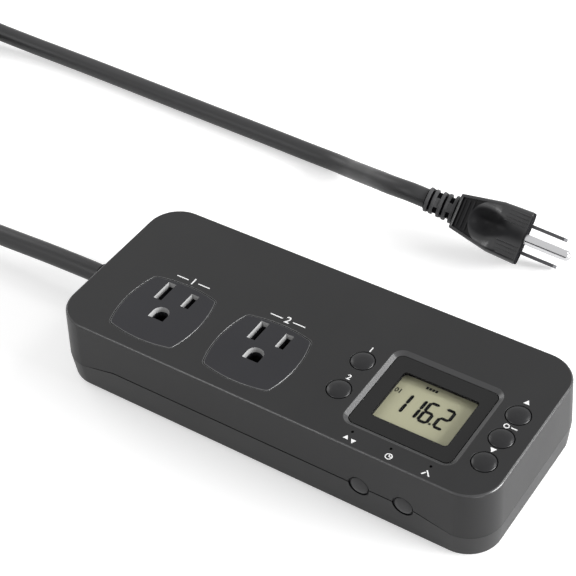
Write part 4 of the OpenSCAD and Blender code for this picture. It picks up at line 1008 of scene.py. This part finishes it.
FINISHES = {
    "display_frame": BLACK, "lcd_panel": LCD, "contact_strips": STRIP, "display_board": BOARD,
    "control_chip": BLACK, "indicator_lamps": LAMP, "tact_switches": BLACK, "line_contact_1": BRASS,
    "line_contact_2": BRASS,
    "neutral_bus": BRASS, "ground_bus": BRASS, "contact_carrier": NYLON, "carrier_screws": STEEL,
    "main_board": BOARD, "relay_1": BLUE, "relay_2": BLUE, "varistors": DISC_BLUE, "safety_capacitor": YELLOW,
    "transformer": CORE, "filter_capacitor": SLEEVE, "fuse": GLASS_TUBE, "board_header": BLACK,
    "breaker_1": BLACK, "breaker_2": BLACK, "line_wires": WIRE_BLACK, "neutral_wires": WIRE_WHITE,
    "ground_wire": WIRE_GREEN,
    "cord_bushing": PLUG_SKIN, "cord_clamp": NYLON, "clamp_screws": STEEL, "jacket_end": CORD_SKIN,
    "board_screws": STEEL, "display_screws": STEEL, "case_screws": STEEL, "rubber_feet": FOOT_RUBBER,
    "coil_tie": PLUG_SKIN, "plug_blade_line": BLADE_DARK_REFLECTION, "plug_blade_neutral": BLADE_DARK_REFLECTION, "plug_ground_pin": NICKEL,
}
for name, piece in nodes.items():
    if name.startswith("plunger_"):
        dress(piece, PLUNGER)
    elif name in FINISHES:
        dress(piece, FINISHES[name])


# Floor, lamps and world
def seen_straight(nodes_, links):
    """One for rays from the camera, from gloss and through glass, which then show the pale backdrop."""
    path = nodes_.new("ShaderNodeLightPath")
    first = nodes_.new("ShaderNodeMath")
    first.operation = "MAXIMUM"
    second = nodes_.new("ShaderNodeMath")
    second.operation = "MAXIMUM"
    links.new(path.outputs["Is Camera Ray"], first.inputs[0])
    links.new(path.outputs["Is Glossy Ray"], first.inputs[1])
    links.new(first.outputs[0], second.inputs[0])
    links.new(path.outputs["Is Transmission Ray"], second.inputs[1])
    return second.outputs[0]


def make_floor():
    let_go()
    bpy.ops.mesh.primitive_plane_add(size=8, location=(0, 0, 0))
    floor = bpy.context.object
    floor.name = "studio_floor"
    material, shader = new_material("studio_floor", (0.82, 0.82, 0.82), 0.9)
    nodes_, links = material.node_tree.nodes, material.node_tree.links
    glow = nodes_.new("ShaderNodeMath")
    glow.operation = "MULTIPLY"
    glow.inputs[1].default_value = 0.47
    links.new(seen_straight(nodes_, links), glow.inputs[0])
    shader.inputs["Emission Color"].default_value = (1, 1, 1, 1)
    links.new(glow.outputs[0], shader.inputs["Emission Strength"])
    shader.inputs["Specular IOR Level"].default_value = 0
    dress(floor, material)


def make_lamp(name, place, target, size, power):
    data = bpy.data.lights.new(name, "AREA")
    data.shape = "SQUARE"
    data.size = size
    data.energy = power
    lamp = bpy.data.objects.new(name, data)
    bpy.context.scene.collection.objects.link(lamp)
    lamp.location = place
    lamp.rotation_euler = (Vector(target) - Vector(place)).to_track_quat("-Z", "Y").to_euler()


def make_world():
    world = bpy.data.worlds.new("studio")
    bpy.context.scene.world = world
    world.use_nodes = True
    nodes_, links = world.node_tree.nodes, world.node_tree.links
    background = nodes_["Background"]
    background.inputs["Color"].default_value = (1, 1, 1, 1)
    strength = nodes_.new("ShaderNodeMapRange")
    strength.inputs["To Min"].default_value = 0.4
    strength.inputs["To Max"].default_value = 1.0
    links.new(seen_straight(nodes_, links), strength.inputs["Value"])
    links.new(strength.outputs["Result"], background.inputs["Strength"])


make_floor()
make_world()
make_lamp("right_softbox", (1.55, 0.42, 0.42), (0, 0, 0.02), 1.0, 60)
make_lamp("left_softbox", (-1.7, 0.5, 1.0), (0, 0, 0.02), 0.9, 6)
make_lamp("front_softbox", (-0.6, -1.6, 0.8), (0, 0, 0.02), 1.2, 2)
make_lamp("edge_softbox", (-0.7, -1.08, 0.96), (0, 0, 0.02), 0.35, 3)
make_lamp("back_softbox", (0.67, 0.96, 1.1), (0, 0, 0.02), 0.4, 4)
bpy.context.scene.view_settings.view_transform = "Standard"
